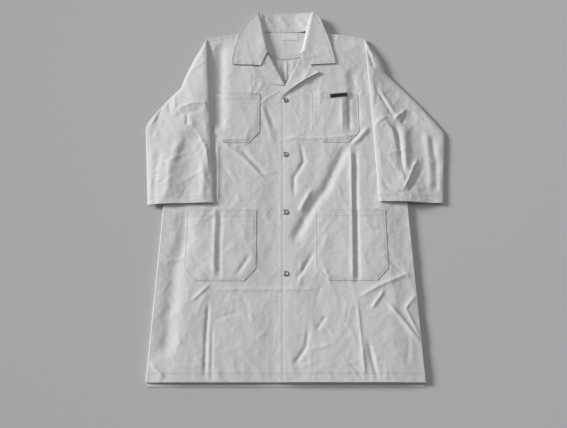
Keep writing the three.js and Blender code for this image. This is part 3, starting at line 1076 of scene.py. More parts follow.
RIGHT_SLEEVE_CREASES = (
    Crease(((-352, 792), (-362, 750), (-371, 715)), -2.4, 4.2, Fold.PRESSED),
    Crease(((-366, 770), (-384, 712)), 1.6, 5.0),
    Crease(((-324, 812), (-315, 763)), 2.6, 4.2, Fold.PRESSED),
    Crease(((-338, 790), (-330, 748)), -1.5, 5.0),
    Crease(((-321, 748), (-300, 765), (-262, 778), (-233, 777), (-203, 740)), 2.8, 5.2, Fold.PRESSED),
    Crease(((-318, 733), (-285, 748), (-236, 755)), -1.5, 8.0),
    Crease(((-281, 748), (-279, 704)), -2.9, 3.6, Fold.PRESSED),
    Crease(((-272, 735), (-262, 706), (-222, 635), (-208, 560)), 2.9, 6.0, Fold.PRESSED),
    Crease(((-264, 712), (-238, 655)), -2.4, 4.6, Fold.PRESSED),
    Crease(((-276, 690), (-272, 600), (-268, 470)), -4.2, 30.0),
    Crease(((-290, 672), (-318, 590), (-330, 470)), 2.0, 11.0),
    Crease(((-232, 610), (-224, 540), (-226, 476)), 1.8, 8.0),
    Crease(((-352, 640), (-362, 560), (-358, 476)), -1.4, 9.0),
    *crinkles((-385, 480), (-205, 950), 52, 11, 70.0),
)

LEFT_SLEEVE_CREASES = (
    Crease(((262, 826), (284, 782), (307, 735)), -2.2, 4.0, Fold.PRESSED),
    Crease(((268, 832), (313, 742)), 1.8, 6.0),
    Crease(((308, 728), (330, 746), (350, 766)), 3.0, 4.6, Fold.PRESSED),
    Crease(((346, 758), (330, 712)), -2.6, 5.0),
    Crease(((262, 700), (284, 712), (302, 690), (318, 600), (325, 520)), 2.6, 6.5, Fold.PRESSED),
    Crease(((311, 722), (317, 640), (324, 545)), -4.2, 8.5),
    Crease(((340, 712), (336, 640), (330, 560)), 2.0, 9.0),
    Crease(((316, 505), (334, 534), (354, 580), (372, 612)), 3.4, 4.4, Fold.PRESSED),
    Crease(((330, 500), (352, 530), (382, 580)), -1.8, 5.0),
    Crease(((262, 545), (280, 516), (306, 500), (330, 503)), -1.8, 6.0),
    Crease(((250, 700), (262, 716), (292, 738)), 1.8, 5.0, Fold.PRESSED),
    Crease(((236, 985), (262, 930)), 2.2, 5.5),
    Crease(((243, 960), (258, 890)), -2.0, 5.5),
    Crease(((395, 700), (400, 600), (396, 500)), 1.8, 9.0),
    Crease(((412, 690), (420, 600), (414, 500)), -1.4, 7.0),
    *crinkles((245, 480), (440, 960), 56, 12, 110.0),
)

FRONT_CRINKLES = (
    *crinkles((-330, 10), (-45, 990), 84, 13),
    *crinkles((30, 10), (330, 990), 84, 14),
)

BACK_CREASES = (
    Crease(((-22, 935), (-26, 845)), 3.4, 7),
    Crease(((-9, 930), (-10, 850)), -2.0, 6),
    Crease(((4, 935), (2, 850)), 2.6, 6),
    Crease(((24, 935), (17, 862)), 3.4, 7),
)

COLLAR_CREASES = (
    Crease(((-62, 1080), (-34, 1040)), 1.6, 8),
    Crease(((-20, 1084), (10, 1042)), 1.3, 9),
    Crease(((30, 1082), (60, 1044)), 1.5, 8),
)


# ---------------------------------------------------------------- the coat's parts


@dataclass
class Back:
    """Both halves of the back, the vent's underlap, the facing inside the neck and its tag."""

    pattern: Pattern
    finishes: Finishes
    level: float = 1.5
    hem_depth: float = 22.0
    middle_gap: float = 0.3
    vent_proud: float = 1.2
    facing_proud: float = 1.5
    lie: Lie = field(init=False)

    def __post_init__(self) -> None:
        """Sets how the back lies: nearly flat on the table."""
        self.lie = Lie(lambda xy: np.full(len(xy), self.level), BACK_CREASES, rumple=0.28, seed=3.0)

    def build(self) -> None:
        """Builds the panels."""
        pattern = self.pattern
        for side in Side:
            edge = pattern.outer_edge()
            bottom, hem = pattern.back_hem, pattern.back_hem + self.hem_depth
            middle = [(self.middle_gap, bottom), (edge[0][0], bottom)]
            outline = onto(side, [*middle, *edge, (self.middle_gap, pattern.neck[1])])
            seams = (
                Seam(tuple(onto(side, [(6.0, hem), (6.0, pattern.neck[1] - 6)]))),
                Seam(tuple(onto(side, [(8.0, hem), (edge[0][0] - 8, hem)]))),
            )
            lie = Lie(self.lie, seams=seams, rumple=0.0)
            Panel(
                f"back_cloth_{side.word}", outline, lie, Hold("root"), [f"back_{side.word}"], seams, 9.0,
            ).make(self.finishes.cloth)
            Stitching(f"back_stitching_{side.word}", [s.path for s in seams], lie, Hold("root")).make(
                self.finishes.thread)
        low_x, low_y, _, high_x, high_y, _ = box_mm("back_vent_underlap")
        vent = [(low_x, low_y), (high_x, low_y), (high_x, high_y - high_x), (low_x, high_y)]
        Panel(
            "vent_underlap_cloth", vent, lambda xy: self.lie(xy) + self.vent_proud, Hold("root"),
            ["back_vent_underlap"], spacing=8.0, rests_on=["back_cloth_left", "back_cloth_right"],
        ).make(self.finishes.cloth)
        self.facing()

    def facing(self) -> None:
        """Builds the facing inside the back of the neck, and the tag sewn to it."""
        low_x, low_y, _, high_x, high_y, _ = box_mm("back_neck_facing")
        bottom = bend((low_x, low_y + 30), (0.0, low_y - 26), (high_x, low_y + 30), 14)
        outline = [*bottom, (high_x, high_y), (low_x, high_y)]
        edge = Seam(tuple(bend((low_x + 4, low_y + 35), (0.0, low_y - 20), (high_x - 4, low_y + 35), 14)))
        lie = Lie(lambda xy: self.lie(xy) + self.facing_proud, seams=(edge,), rumple=0.25, seed=8.0)
        Panel(
            "neck_facing_cloth", outline, lie, Hold("root"), ["back_neck_facing"], (edge,), 4.0,
            rests_on=["back_cloth_left", "back_cloth_right"],
        ).make(self.finishes.cloth)
        Stitching("neck_facing_stitching", [edge.path], lie, Hold("root")).make(self.finishes.thread)
        Tag("neck_tag_cloth", "neck_label", lie, Hold("root"), "neck_label").build(
            self.finishes.neck_tag, self.finishes.thread)


@dataclass
class Tag:
    """A small blank woven label, sewn down all round. It carries no words and no mark."""

    name: str
    node: str
    under: Heights
    hold: Hold
    slot: str
    tilt: float = 0.0
    inset: float = 1.6

    def build(self, cloth: bpy.types.Material, thread: bpy.types.Material) -> None:
        """Builds the label and its stitches.

        Args:
            cloth: The label's finish.
            thread: The finish of its stitches.
        """
        low_x, low_y, _, high_x, high_y, _ = box_mm(self.node)
        middle = np.array([(low_x + high_x) / 2, (low_y + high_y) / 2])

        def corners(inset: float) -> list[Point]:
            """Gives the label's corners, moved in by a distance.

            Args:
                inset: The distance.

            Returns:
                The corners.
            """
            half = np.array([(high_x - low_x) / 2 - inset, (high_y - low_y) / 2 - inset])
            c, s = math.cos(self.tilt), math.sin(self.tilt)
            ways = [(half[0] * i, half[1] * j) for i, j in ((-1, -1), (1, -1), (1, 1), (-1, 1))]
            return [tuple(middle + np.array([c * x - s * y, s * x + c * y])) for x, y in ways]

        ring = corners(self.inset)
        edge = Seam(tuple([*ring, ring[0]]), 0.25, 1.0, 0.1, 9.0, 3.0)
        lie = Lie(lambda xy: self.under(xy) + 0.9, seams=(edge,), rumple=0.12, seed=21.0)
        Panel(
            self.name, corners(0.0), lie, self.hold, [self.node], (edge,), 2.0, 0.45, slot=self.slot,
        ).make(cloth)
        Stitching(self.name + "_stitching", [edge.path], lie, self.hold, 2.4, 1.7, 0.2).make(thread)


@dataclass
class Front:
    """One front: its panel and facing, its lapel, and the strip under the collar that stays with the body."""

    side: Side
    pattern: Pattern
    finishes: Finishes
    edge_sink: float = 1.9
    side_fall: float = 5.5
    hem_depth: float = 20.0
    lapel_proud: tuple[float, float] = (4.2, 0.2)
    lapel_clear: tuple[float, float] = (2.3, 1.3)
    lapel_thickness: tuple[float, float] = (1.5, 0.9)
    strip_gap: float = 1.5
    strip_sunk: float = 0.4
    facing_width: float = 62.0
    facing_sunk: float = 1.5
    edge: float = field(init=False)
    level: float = field(init=False)
    lie: Lie = field(init=False)

    def __post_init__(self) -> None:
        """Takes the front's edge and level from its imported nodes, and sets how it lies."""
        box = box_mm(self.side.word + "_front")
        self.edge = box[0] if self.side is Side.LEFT else box[3]
        self.level = box[5]
        snaps = [box_mm(f"snap_cap_{i}") for i in (1, 2, 3, 4)]
        dimples = [Dimple(((b[0] + b[3]) / 2, (b[1] + b[4]) / 2), -0.9, 15.0) for b in snaps]
        self.lie = Lie(
            self.base, (*BODY_CREASES, *FRONT_CRINKLES, *dimples), self.seams(), rumple=1.2,
            seed=1.0 + self.side.value, calm=self.calm, facets=0.45,
        )

    def calm(self, xy: np.ndarray) -> np.ndarray:
        """Gives how freely the cloth rumples: least along the closing edge, where layers are stacked."""
        return 0.3 + 0.7 * smooth(np.abs(xy[:, 0] - self.edge) / 48.0)

    def base(self, xy: np.ndarray) -> np.ndarray:
        """Gives the smooth height of the front: it falls towards the side, shoulder and closing edge.

        Args:
            xy: The points, one a row.

        Returns:
            The height at each point.
        """
        fall = self.side_fall + (0.0 if self.side is Side.LEFT else -1.5)
        outer, _, _ = nearest(xy, onto(self.side, self.pattern.outer_edge()))
        height = self.level - fall * (1.0 - smooth(outer / 75.0))
        if self.side is Side.LEFT:
            from_edge = np.abs(xy[:, 0] - self.edge)
            ridge = 0.9 * np.exp(-np.abs(from_edge - 2.2) / 1.8)
            return height - self.edge_sink * np.exp(-from_edge / 14.0) + ridge
        return height + 2.6 * smooth((-xy[:, 0] - 22.0) / 70.0)

    def seams(self) -> tuple[Seam, ...]:
        """Gives the sewn lines of the panel: its closing edge, hem and shoulder.

        Returns:
            The seams.
        """
        pattern, side = self.pattern, self.side
        inwards = 6.0 if side is Side.LEFT else -6.0
        edge = self.edge + inwards
        (out, high), (neck_out, neck_high) = pattern.shoulder, pattern.neck
        shoulder = [(out - 8, high - 7), (neck_out + 6, neck_high - 8)]
        hem = ((edge, self.hem_depth), (side.value * (pattern.hem[0] - 6), self.hem_depth))
        return (
            Seam(((edge, 4.0), (edge, pattern.break_height - 6)), 0.45, 1.6, 0.25, 24.0),
            Seam(hem, 0.4, 1.6, 0.55, 30.0, 15.0),
            Seam(tuple(onto(side, shoulder)), 0.4, 1.7, 0.3),
        )

    def panel_outline(self) -> list[Point]:
        """Gives the outline of the front, with the strip under the collar left out.

        Returns:
            The corners.
        """
        pattern, side = self.pattern, self.side
        gorge = [pattern.fold_top, pattern.gorge_outer, pattern.gorge_inner]
        outer = onto(side, [*pattern.outer_edge(), *gorge])
        return [(self.edge, 0.0), *outer, pattern.v_bottom, (self.edge, pattern.break_height)]

    def build(self) -> None:
        """Builds the pieces of the front."""
        word, pattern = self.side.word, self.pattern
        hold = pattern.fold_hold(self.side)
        front_body = Hold(word + "_front")
        seams = self.seams()
        Panel(
            word + "_front_cloth", self.panel_outline(), self.lie, hold,
            [word + "_front", word + "_front_side"], seams, 3.3, rests_on=["back_cloth_" + word],
        ).make(self.finishes.cloth)
        rows = [s.path for s in seams]
        Stitching(word + "_front_stitching", rows, self.lie, hold).make(self.finishes.thread)
        gap = self.strip_gap
        strip = [
            (pattern.fold_top[0] - gap, pattern.fold_top[1] + gap), (pattern.neck[0], pattern.neck[1]),
            (pattern.gorge_inner[0] + gap, pattern.gorge_inner[1] + 2 * gap),
            (pattern.gorge_outer[0] + gap, pattern.gorge_outer[1] + gap),
        ]
        Panel(
            word + "_neck_strip", onto(self.side, strip), lambda xy: self.base(xy) - self.strip_sunk,
            Hold("root"), spacing=6.0,
        ).make(self.finishes.cloth)
        width = self.facing_width * self.side.value
        facing = [
            (self.edge, 2.0), (width, 2.0), (width, pattern.lapel_tip[1]),
            *onto(self.side, [pattern.gorge_outer, pattern.gorge_inner]), pattern.v_bottom,
            (self.edge, pattern.break_height),
        ]
        Panel(
            word + "_facing_cloth", facing, lambda xy: self.lie(xy) - self.facing_sunk, front_body,
            [word + "_facing"], spacing=8.0, thickness=0.6,
        ).make(self.finishes.cloth)
        self.lapel(front_body)

    def lapel(self, hold: Hold) -> None:
        """Builds the lapel: it rolls over at the neck edge and stands proud along its outer edge.

        Args:
            hold: What it moves with.
        """
        pattern, side = self.pattern, self.side
        worn = 0 if side is Side.LEFT else 1
        proud, clear = self.lapel_proud[worn], self.lapel_clear[worn]
        foot = (self.edge * side.value, pattern.break_height)
        belly = bend(pattern.lapel_tip, pattern.lapel_belly, foot, 12)
        gorge_in, gorge_out = pattern.gorge_inner, pattern.gorge_outer
        gorge = [(gorge_in[0] + 0.5, gorge_in[1] - 2), (gorge_out[0] + 1, gorge_out[1] - 2)]
        drawn = [*gorge, *belly, pattern.v_bottom]
        if side is Side.RIGHT:
            inner = [p for p in belly if p[1] > pattern.v_bottom[1] + 2]
            drawn = [*gorge, *inner, (2.0, pattern.v_bottom[1] + 1.5)]
        outline = onto(side, drawn)
        roll_line = onto(side, [pattern.gorge_inner, pattern.v_bottom])
        outer_line = onto(side, belly)
        stitched = onto(side, [tuple(p) for p in shifted(np.array(belly[1:-2]), 6.0)])
        edge = Seam(tuple(stitched), 0.35, 1.5, 0.3, 17.0)

        def base(xy: np.ndarray) -> np.ndarray:
            """Gives the lapel's height: over the front, with a round roll and a lifted edge.

            Args:
                xy: The points, one a row.

            Returns:
                The height at each point.
            """
            to_roll, to_edge = nearest(xy, roll_line)[0], nearest(xy, outer_line)[0]
            rise = smooth((xy[:, 1] - pattern.break_height) / 40.0)
            lifted = self.lie(xy) + clear + proud * np.exp(-to_edge / 15.0) * rise
            return lifted + 2.4 * np.exp(-to_roll / 16.0) + rolled_edge(to_roll, 5.0, 3.4)

        lie = Lie(base, seams=(edge,), rumple=0.55, seed=30.0 + side.value)
        Panel(
            side.word + "_lapel_cloth", outline, lie, hold, [side.word + "_lapel"], (edge,), 3.2,
            self.lapel_thickness[worn], held="folded", rests_on=[side.word + "_front_cloth"],
        ).make(self.finishes.cloth)
        Stitching(side.word + "_lapel_stitching", [edge.path], lie, hold).make(self.finishes.thread)


@dataclass
class Pocket:
    """A patch pocket with cut corners, sewn down on three sides and hemmed along its open top."""

    front: Front
    word: str
    corner: tuple[float, float] = (30.0, 34.0)
    top_hem: float = 20.0
    mouth: float = 1.8
    proud: float = 1.5
    fullness: float = 0.8
    lie: Lie = field(init=False)

    def build(self, finishes: Finishes) -> None:
        """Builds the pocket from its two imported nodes.

        Args:
            finishes: The coat's finishes.
        """
        side = self.front.side
        node = f"{side.word}_{self.word}_pocket"
        boxes = [box_mm(node), box_mm(node + "_side")]
        near, far = (min, max) if side is Side.LEFT else (max, min)
        inner = near(boxes[0][0], boxes[0][3]) * side.value
        outer = far(boxes[1][0], boxes[1][3]) * side.value
        low, high = min(b[1] for b in boxes), max(b[4] for b in boxes)
        across, up = self.corner

        def ring(inset: float) -> list[Point]:
            """Gives the sewn sides from the inner top corner to the outer one, moved in by a distance.

            Args:
                inset: The distance.

            Returns:
                The corners.
            """
            slant = 0.41 * inset
            return [
                (inner + inset, high), (inner + inset, low + up + slant),
                (inner + across + slant, low + inset), (outer - across - slant, low + inset),
                (outer - inset, low + up + slant), (outer - inset, high),
            ]

        sewn = onto(side, ring(3.0))
        hem = onto(side, [(inner + 3, high - self.top_hem), (outer - 3, high - self.top_hem)])
        seams = (Seam(tuple(sewn), 0.45, 1.5, 0.35, 17.0, 9.0), Seam(tuple(hem), 0.25, 1.4, 0.2, 23.0))
        edges = onto(side, ring(0.0))

        def base(xy: np.ndarray) -> np.ndarray:
            """Gives the pocket's height: over the front, a little full, and slack along its mouth.

            Args:
                xy: The points, one a row.

            Returns:
                The height at each point.
            """
            inside, _, _ = nearest(xy, edges)
            slack = self.mouth * np.exp(-(high - xy[:, 1]) / 12.0) * smooth(inside / 30.0)
            return self.front.lie(xy) + self.proud + self.fullness * smooth(inside / 26.0) + slack

        self.lie = Lie(base, seams=seams, rumple=0.3, seed=40.0 + side.value + len(self.word))
        hold = self.front.pattern.fold_hold(side)
        name = f"{side.word}_{self.word}_patch"
        Panel(
            name, edges, self.lie, hold, [node, node + "_side"], seams, 4.2, 1.4,
            rests_on=[side.word + "_front_cloth"],
        ).make(finishes.cloth)
        Stitching(name + "_stitching", [s.path for s in seams], self.lie, hold).make(finishes.thread)


@dataclass
class Collar:
    """The collar: a band across the back of the neck, and a leaf that folds out over each front."""

    pattern: Pattern
    finishes: Finishes
    fronts: dict[Side, Front]
    roll: float = 5.0
    right_spread: float = 18.0
    edge_pull: Point = (136.0, 982.0)
    crown_pull: Point = (104.0, 1078.0)
    band_foot: float = 4.2
    leaf_lift: float = 0.6
    leaf_clear: float = 3.0
    under_gap: float = 1.5
    roll_reach: float = 4.0
    band_rise: tuple[float, float] = (8.5, 3.6)

    def build(self) -> None:
        """Builds the band, and each side's roll and leaf."""
        low_x, low_y, _, high_x, high_y, _ = box_mm("collar_back")
        top = bend((high_x, high_y), (0.0, high_y + 5.0), (low_x, high_y), 10)
        outline = [(low_x, low_y), (high_x, low_y), *top]
        seam = Seam(((low_x + 4, low_y + 4), (high_x - 4, low_y + 4)), 0.7, 2.0, 0.5, 16.0)

        def base(xy: np.ndarray) -> np.ndarray:
            """Gives the band's height: it rises to the fold along its top, and at both ends.

            Args:
                xy: The points, one a row.

            Returns:
                The height at each point.
            """
            ends = smooth((np.abs(xy[:, 0]) - 26.0) / 54.0)
            rise = np.where(xy[:, 0] > 0, self.band_rise[0], self.band_rise[1])
            return self.band_foot + 3.4 * np.exp(-(high_y - xy[:, 1]) / 16.0) + rise * ends

        lie = Lie(base, COLLAR_CREASES, (seam,), 0.6, 51.0)
        Panel(
            "collar_band_cloth", outline, lie, Hold("root"), ["collar_back"], (seam,), 3.6, 1.0,
            held="folded",
        ).make(self.finishes.cloth)
        Stitching("collar_band_stitching", [seam.path], lie, Hold("root")).make(self.finishes.thread)
        Panel(
            "collar_fall_cloth", outline, lambda xy: 1.6 + 0.5 * grain(xy, 50.0, 4.0), Hold("root"),
            ["under_collar_back"], spacing=7.0, held="folded",
        ).make(self.finishes.cloth)
        for side in Side:
            self.leaf(side)

    def leaf(self, side: Side) -> None:
        """Builds one leaf, the cloth under it, and the roll that it turns over.

        Args:
            side: The wearer's left or right.
        """
        pattern, word = self.pattern, side.word
        level = box_mm(word + "_collar_leaf")[5]
        roll_line = onto(side, [pattern.gorge_inner, pattern.roll_top])
        start = (pattern.gorge_inner[0] + 1.2, pattern.gorge_inner[1] + 3.0)
        out = 0.0 if side is Side.LEFT else self.right_spread
        tip = (pattern.collar_tip[0] + 0.7 * out, pattern.collar_tip[1] - 3.0)
        shoulder = (pattern.collar_outer[0] + out, pattern.collar_outer[1] - 0.5 * out)
        outer = bend(tip, (self.edge_pull[0] + 1.1 * out, self.edge_pull[1]), shoulder, 6)
        crown = (self.crown_pull[0] + 0.6 * out, self.crown_pull[1] - 0.3 * out)
        top = bend(shoulder, crown, pattern.roll_top, 6)
        outline = onto(side, [start, pattern.gorge_outer, *outer, *top[1:]])
        outer_line = onto(side, [pattern.gorge_outer, *outer, *top[1:]])
        rim = [(pattern.gorge_outer[0] + 8, pattern.gorge_outer[1]), *outer, *top[1:-1]]
        sewn = [tuple(p) for p in shifted(np.array(rim), 6.0)]
        edge = Seam(tuple(onto(side, sewn)), 0.35, 1.5, 0.3, 18.0)

        def base(xy: np.ndarray) -> np.ndarray:
            """Gives the leaf's height: full at the roll, and lying down towards its outer edge.

            Args:
                xy: The points, one a row.

            Returns:
                The height at each point.
            """
            to_roll, to_edge = nearest(xy, roll_line)[0], nearest(xy, outer_line)[0]
            lying = np.maximum(level + self.leaf_lift, self.fronts[side].lie(xy) + self.leaf_clear)
            return (
                lying + 3.4 * np.exp(-to_roll / 20.0) + 1.0 * np.exp(-to_edge / 14.0)
                + rolled_edge(to_roll, self.roll, 4.2)
            )

        lie = Lie(base, seams=(edge,), rumple=0.6, seed=60.0 + side.value)
        hold = Hold(word + "_collar")
        leaf = Panel(
            word + "_leaf_cloth", outline, lie, hold, [word + "_collar_leaf"], (edge,), 3.4, 1.1,
            held="folded", rests_on=[word + "_front_cloth"],
        ).make(self.finishes.cloth)
        Panel(
            word + "_leaf_under", outline, lambda xy: base(xy) - self.under_gap, hold,
            [word + "_under_collar"], (), 6.0, 0.8, held="folded", rests_on=[leaf.name],
        ).make(self.finishes.cloth)
        Stitching(word + "_leaf_stitching", [edge.path], lie, hold).make(self.finishes.thread)
        self.roll_wall(side, level)

    def roll_wall(self, side: Side, level: float) -> None:
        """Builds the inner wall of the roll, from the band up to the leaf.

        Args:
            side: The wearer's left or right.
            level: The height of the leaf.
        """
        pattern, word = self.pattern, side.word
        foot_in, head_in = pattern.gorge_inner, pattern.roll_top
        roll_line = onto(side, [foot_in, head_in])
        stand = onto(side, [
            (foot_in[0] + 5, foot_in[1] + 4), (head_in[0] + 5, head_in[1] - 3),
            (head_in[0] - 6, head_in[1] - 1), (foot_in[0] - 6, foot_in[1] + 1),
        ])
        lean = (roll_line[1][0] - roll_line[0][0]) / (roll_line[1][1] - roll_line[0][1])
        roll_hold = Hold.across(
            word + "_collar", "root", tuple(np.mean(roll_line, axis=0)),
            (side.value, -lean * side.value), self.roll_reach,
        )

        def rise(xy: np.ndarray) -> np.ndarray:
            """Gives the height of the roll's inner wall, from the band up to the leaf.

            Args:
                xy: The points, one a row.

            Returns:
                The height at each point.
            """
            inwards = (roll_line[0][0] + (xy[:, 1] - roll_line[0][1]) * lean - xy[:, 0]) * side.value
            share = smooth(1.0 - inwards / 6.0)
            band = self.band_rise[0 if side is Side.LEFT else 1]
            foot = 3.6 + band * smooth((xy[:, 1] - pattern.gorge_inner[1]) / 90.0)
            return foot + (level - 1.6 - foot) * share

        Panel(
            word + "_roll_cloth", stand, rise, roll_hold, [word + "_collar_stand"], spacing=3.0,
            held="folded", rests_on=["collar_band_cloth"],
        ).make(self.finishes.cloth)


@dataclass
class Sleeve:
    """One sleeve: a flattened tube of cloth, in two lengths that meet above the elbow."""

    side: Side
    pattern: Pattern
    creases: Sequence[Crease]
    kink: Point
    elbow: Point
    cuff_outer: Point
    cuff_inner: Point
    crook: float
    level: float = 20.2
    meet: float = 850.0
    half: float = 3.3
    edge_radius: float = 15.0
    cuff_hem: float = 18.0
    fall: float = 14.0
    fall_start: float = 16.0
    fall_reach: float = 96.0
    head_drop: float = 6.4
    head_reach: float = 95.0
    elbow_reach: float = 58.0
    spacing: float = 3.1
    thickness: float = 0.6
    lower_map: float = 700.0
    lowest: float = 1.0
    underarm_sunk: float = 0.9
    underarm_drop: float = 45.0
    underarm_angle: float = math.radians(24.0)
    underarm_clear: float = 8.0

    def outer(self) -> list[Point]:
        """Gives the outer edge, from the shoulder point to the cuff.

        Returns:
            The points of the edge.
        """
        upper = bend(self.pattern.shoulder, (self.kink[0] - 8, self.kink[1] + 42), self.kink, 5)
        bow = tuple(self.kink[i] * 0.5 + self.elbow[i] * 0.5 + 7 for i in (0, 1))
        near_elbow = (self.elbow[0] - 5, self.elbow[1] + 10)
        turn = bend(near_elbow, self.elbow, (self.elbow[0] - 0.5, self.elbow[1] - 14), 4)
        return [*upper, *bend(self.kink, bow, near_elbow, 5)[1:], *turn[1:], self.cuff_outer]

    def inner(self) -> list[Point]:
        """Gives the inner edge, from the shoulder point to the cuff."""
        middle = tuple((np.array(self.pattern.shoulder) + np.array(self.cuff_inner)) / 2 + (2.0, 0.0))
        return bend(self.pattern.shoulder, middle, self.cuff_inner, 8)

    def long_edges(self, xy: np.ndarray) -> np.ndarray:
        """Gives each point's distance to the nearer long edge."""
        outer, inner = onto(self.side, self.outer()), onto(self.side, self.inner())
        return np.minimum(nearest(xy, outer)[0], nearest(xy, inner)[0])

    def middle(self, xy: np.ndarray) -> np.ndarray:
        """Gives the height between the two layers: on the body, then down to the table beside it.

        Args:
            xy: The points, one a row.

        Returns:
            The height at each point.
        """
        rim = onto(self.side, self.pattern.outer_edge())
        body = [*rim, (0.0, self.pattern.neck[1]), (0.0, self.pattern.hem[1])]
        edge = nearest(xy, rim)[0]
        outside = np.where(within(xy, body), -edge, edge)
        shoulder = np.array(onto(self.side, [self.pattern.shoulder])[0])
        from_shoulder = np.linalg.norm(xy - shoulder, axis=1)
        head = self.head_drop * (1.0 - smooth(from_shoulder / self.head_reach))
        fallen = self.fall * smooth((outside + self.fall_start) / self.fall_reach)
        return self.level - fallen - head + 0.8 * grain(xy, 75.0, 70.0 + self.side.value)

    def fullness(self, xy: np.ndarray) -> np.ndarray:
        """Gives half the distance between the layers: nothing at the long edges, round beside them."""
        share = np.clip(1.0 - self.long_edges(xy) / self.edge_radius, 0.0, 1.0)
        return self.half * np.sqrt(1.0 - share * share)

    def top(self, xy: np.ndarray) -> np.ndarray:
        """Gives the height of the upper layer.

        Args:
            xy: The points, one a row.

        Returns:
            The height at each point.
        """
        freely = smooth(self.long_edges(xy) / 16.0)
        wrinkled = Lie(
            lambda p: np.full(len(p), LIFTED), self.creases, self.cuff_seams(), rumple=1.4,
            seed=80.0 + self.side.value, facets=0.8,
        )
        return self.middle(xy) + self.fullness(xy) + freely * (wrinkled(xy) - LIFTED)

    def under(self, xy: np.ndarray) -> np.ndarray:
        """Gives the height of the lower layer."""
        return np.maximum(self.middle(xy) - 0.9 * self.fullness(xy), self.lowest)

    def cuff_seams(self) -> tuple[Seam, ...]:
        """Gives the hem of the cuff.

        Returns:
            The one seam.
        """
        a, b = np.array(self.cuff_outer), np.array(self.cuff_inner)
        run = (b - a) / np.linalg.norm(b - a)
        up = np.array([-run[1], run[0]]) * np.sign(run[0] or 1.0)
        up = up if up[1] > 0 else -up
        line = [tuple(a + run * 3 + up * self.cuff_hem), tuple(b - run * 3 + up * self.cuff_hem)]
        return (Seam(tuple(onto(self.side, line)), 0.4, 1.6, 0.5, 26.0, 12.0),)

    def length(self, above: bool) -> list[Point]:
        """Gives the outline of the upper or lower length of the sleeve.

        Args:
            above: Whether it is the length above the meeting line.

        Returns:
            The outline's corners.
        """
        ring = [*self.outer(), *reversed(self.inner())]
        kept = []
        for here, there in zip(ring, [*ring[1:], ring[0]]):
            inside = (here[1] >= self.meet) == above
            crosses = (here[1] >= self.meet) != (there[1] >= self.meet)
            if inside and (not kept or math.dist(kept[-1], here) > 0.01):
                kept.append(here)
            if crosses:
                share = (self.meet - here[1]) / (there[1] - here[1])
                kept.append((here[0] + (there[0] - here[0]) * share, self.meet))
        return kept[:-1] if math.dist(kept[0], kept[-1]) < 0.01 else kept

    def elbow_hold(self) -> Hold:
        """Gives the hold of the lower length, across the elbow.

        Returns:
            The hold.
        """
        crook = (self.cuff_inner[0] - 8.0, self.crook)
        outer, inner = np.array(onto(self.side, [self.elbow, crook]))
        run = (inner - outer) / np.linalg.norm(inner - outer)
        upwards = np.array([-run[1], run[0]])
        upwards = upwards if upwards[1] > 0 else -upwards
        bodies = [self.side.word + "_sleeve", self.side.word + "_forearm"]
        return Hold.across(*bodies, tuple((outer + inner) / 2), tuple(upwards), self.elbow_reach)

    def shoulder_hold(self) -> Hold:
        """Gives the hold of the upper length, across a line below the shoulder point.

        Returns:
            The hold.
        """
        high = np.array(onto(self.side, [self.pattern.shoulder])[0])
        low = np.array([high[0] + 30.0 * self.side.value, self.meet + 12.0])
        middle, way = (high + low) / 2, high - low
        reach = float(np.linalg.norm(way)) / 2
        return Hold.across("root", self.side.word + "_sleeve", tuple(middle), tuple(way), reach)

    def tube(self, name: str, above: bool, hold: Hold, nodes: Sequence[str], finishes: Finishes) -> None:
        """Builds one length of the sleeve.

        Args:
            name: The piece's name.
            above: Whether it is the length above the meeting line.
            hold: What it moves with.
            nodes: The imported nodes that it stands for.
            finishes: The coat's finishes.
        """
        outline = onto(self.side, self.length(above))
        guides = [
            Seam(tuple(map(tuple, shifted(np.array(onto(self.side, line)), k))), 0.0, 1.3, 0.0)
            for line in (self.outer(), self.inner()) for k in (-2.6, 2.6)
        ]
        seams = [] if above else list(self.cuff_seams())
        cut = cut_cloth(outline, self.spacing, [*guides, *seams])
        # painted shade along the cuff's hem seam
        marks = np.zeros(len(cut.xy))
        for seam in seams:
            marks = np.maximum(marks, seam.mark(cut.xy))
        shared = self.long_edges(cut.xy) < 0.05
        own = np.flatnonzero(~shared)
        below = np.arange(len(cut.xy))
        below[own] = len(cut.xy) + np.arange(len(own))
        faces = [face for face in cut.triangles if not shared[list(face)].all()]
        faces += [tuple(int(below[i]) for i in reversed(face)) for face in faces]
        points = np.concatenate([
            to_frame(cut.xy, self.top(cut.xy)), to_frame(cut.xy[own], self.under(cut.xy[own])),
        ])
        place = np.concatenate([cut.xy, cut.xy[own] + (self.lower_map, 0.0)]) * MM
        piece = new_mesh(name, points, faces, place, np.concatenate([marks, marks[own]]), finishes.cloth)
        activate(piece)
        bpy.ops.object.mode_set(mode="EDIT")
        bpy.ops.mesh.select_all(action="SELECT")
        bpy.ops.mesh.delete_loose()
        bpy.ops.object.mode_set(mode="OBJECT")
        thicken(piece, self.thickness)
        hold.attach(piece)
        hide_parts(*nodes)

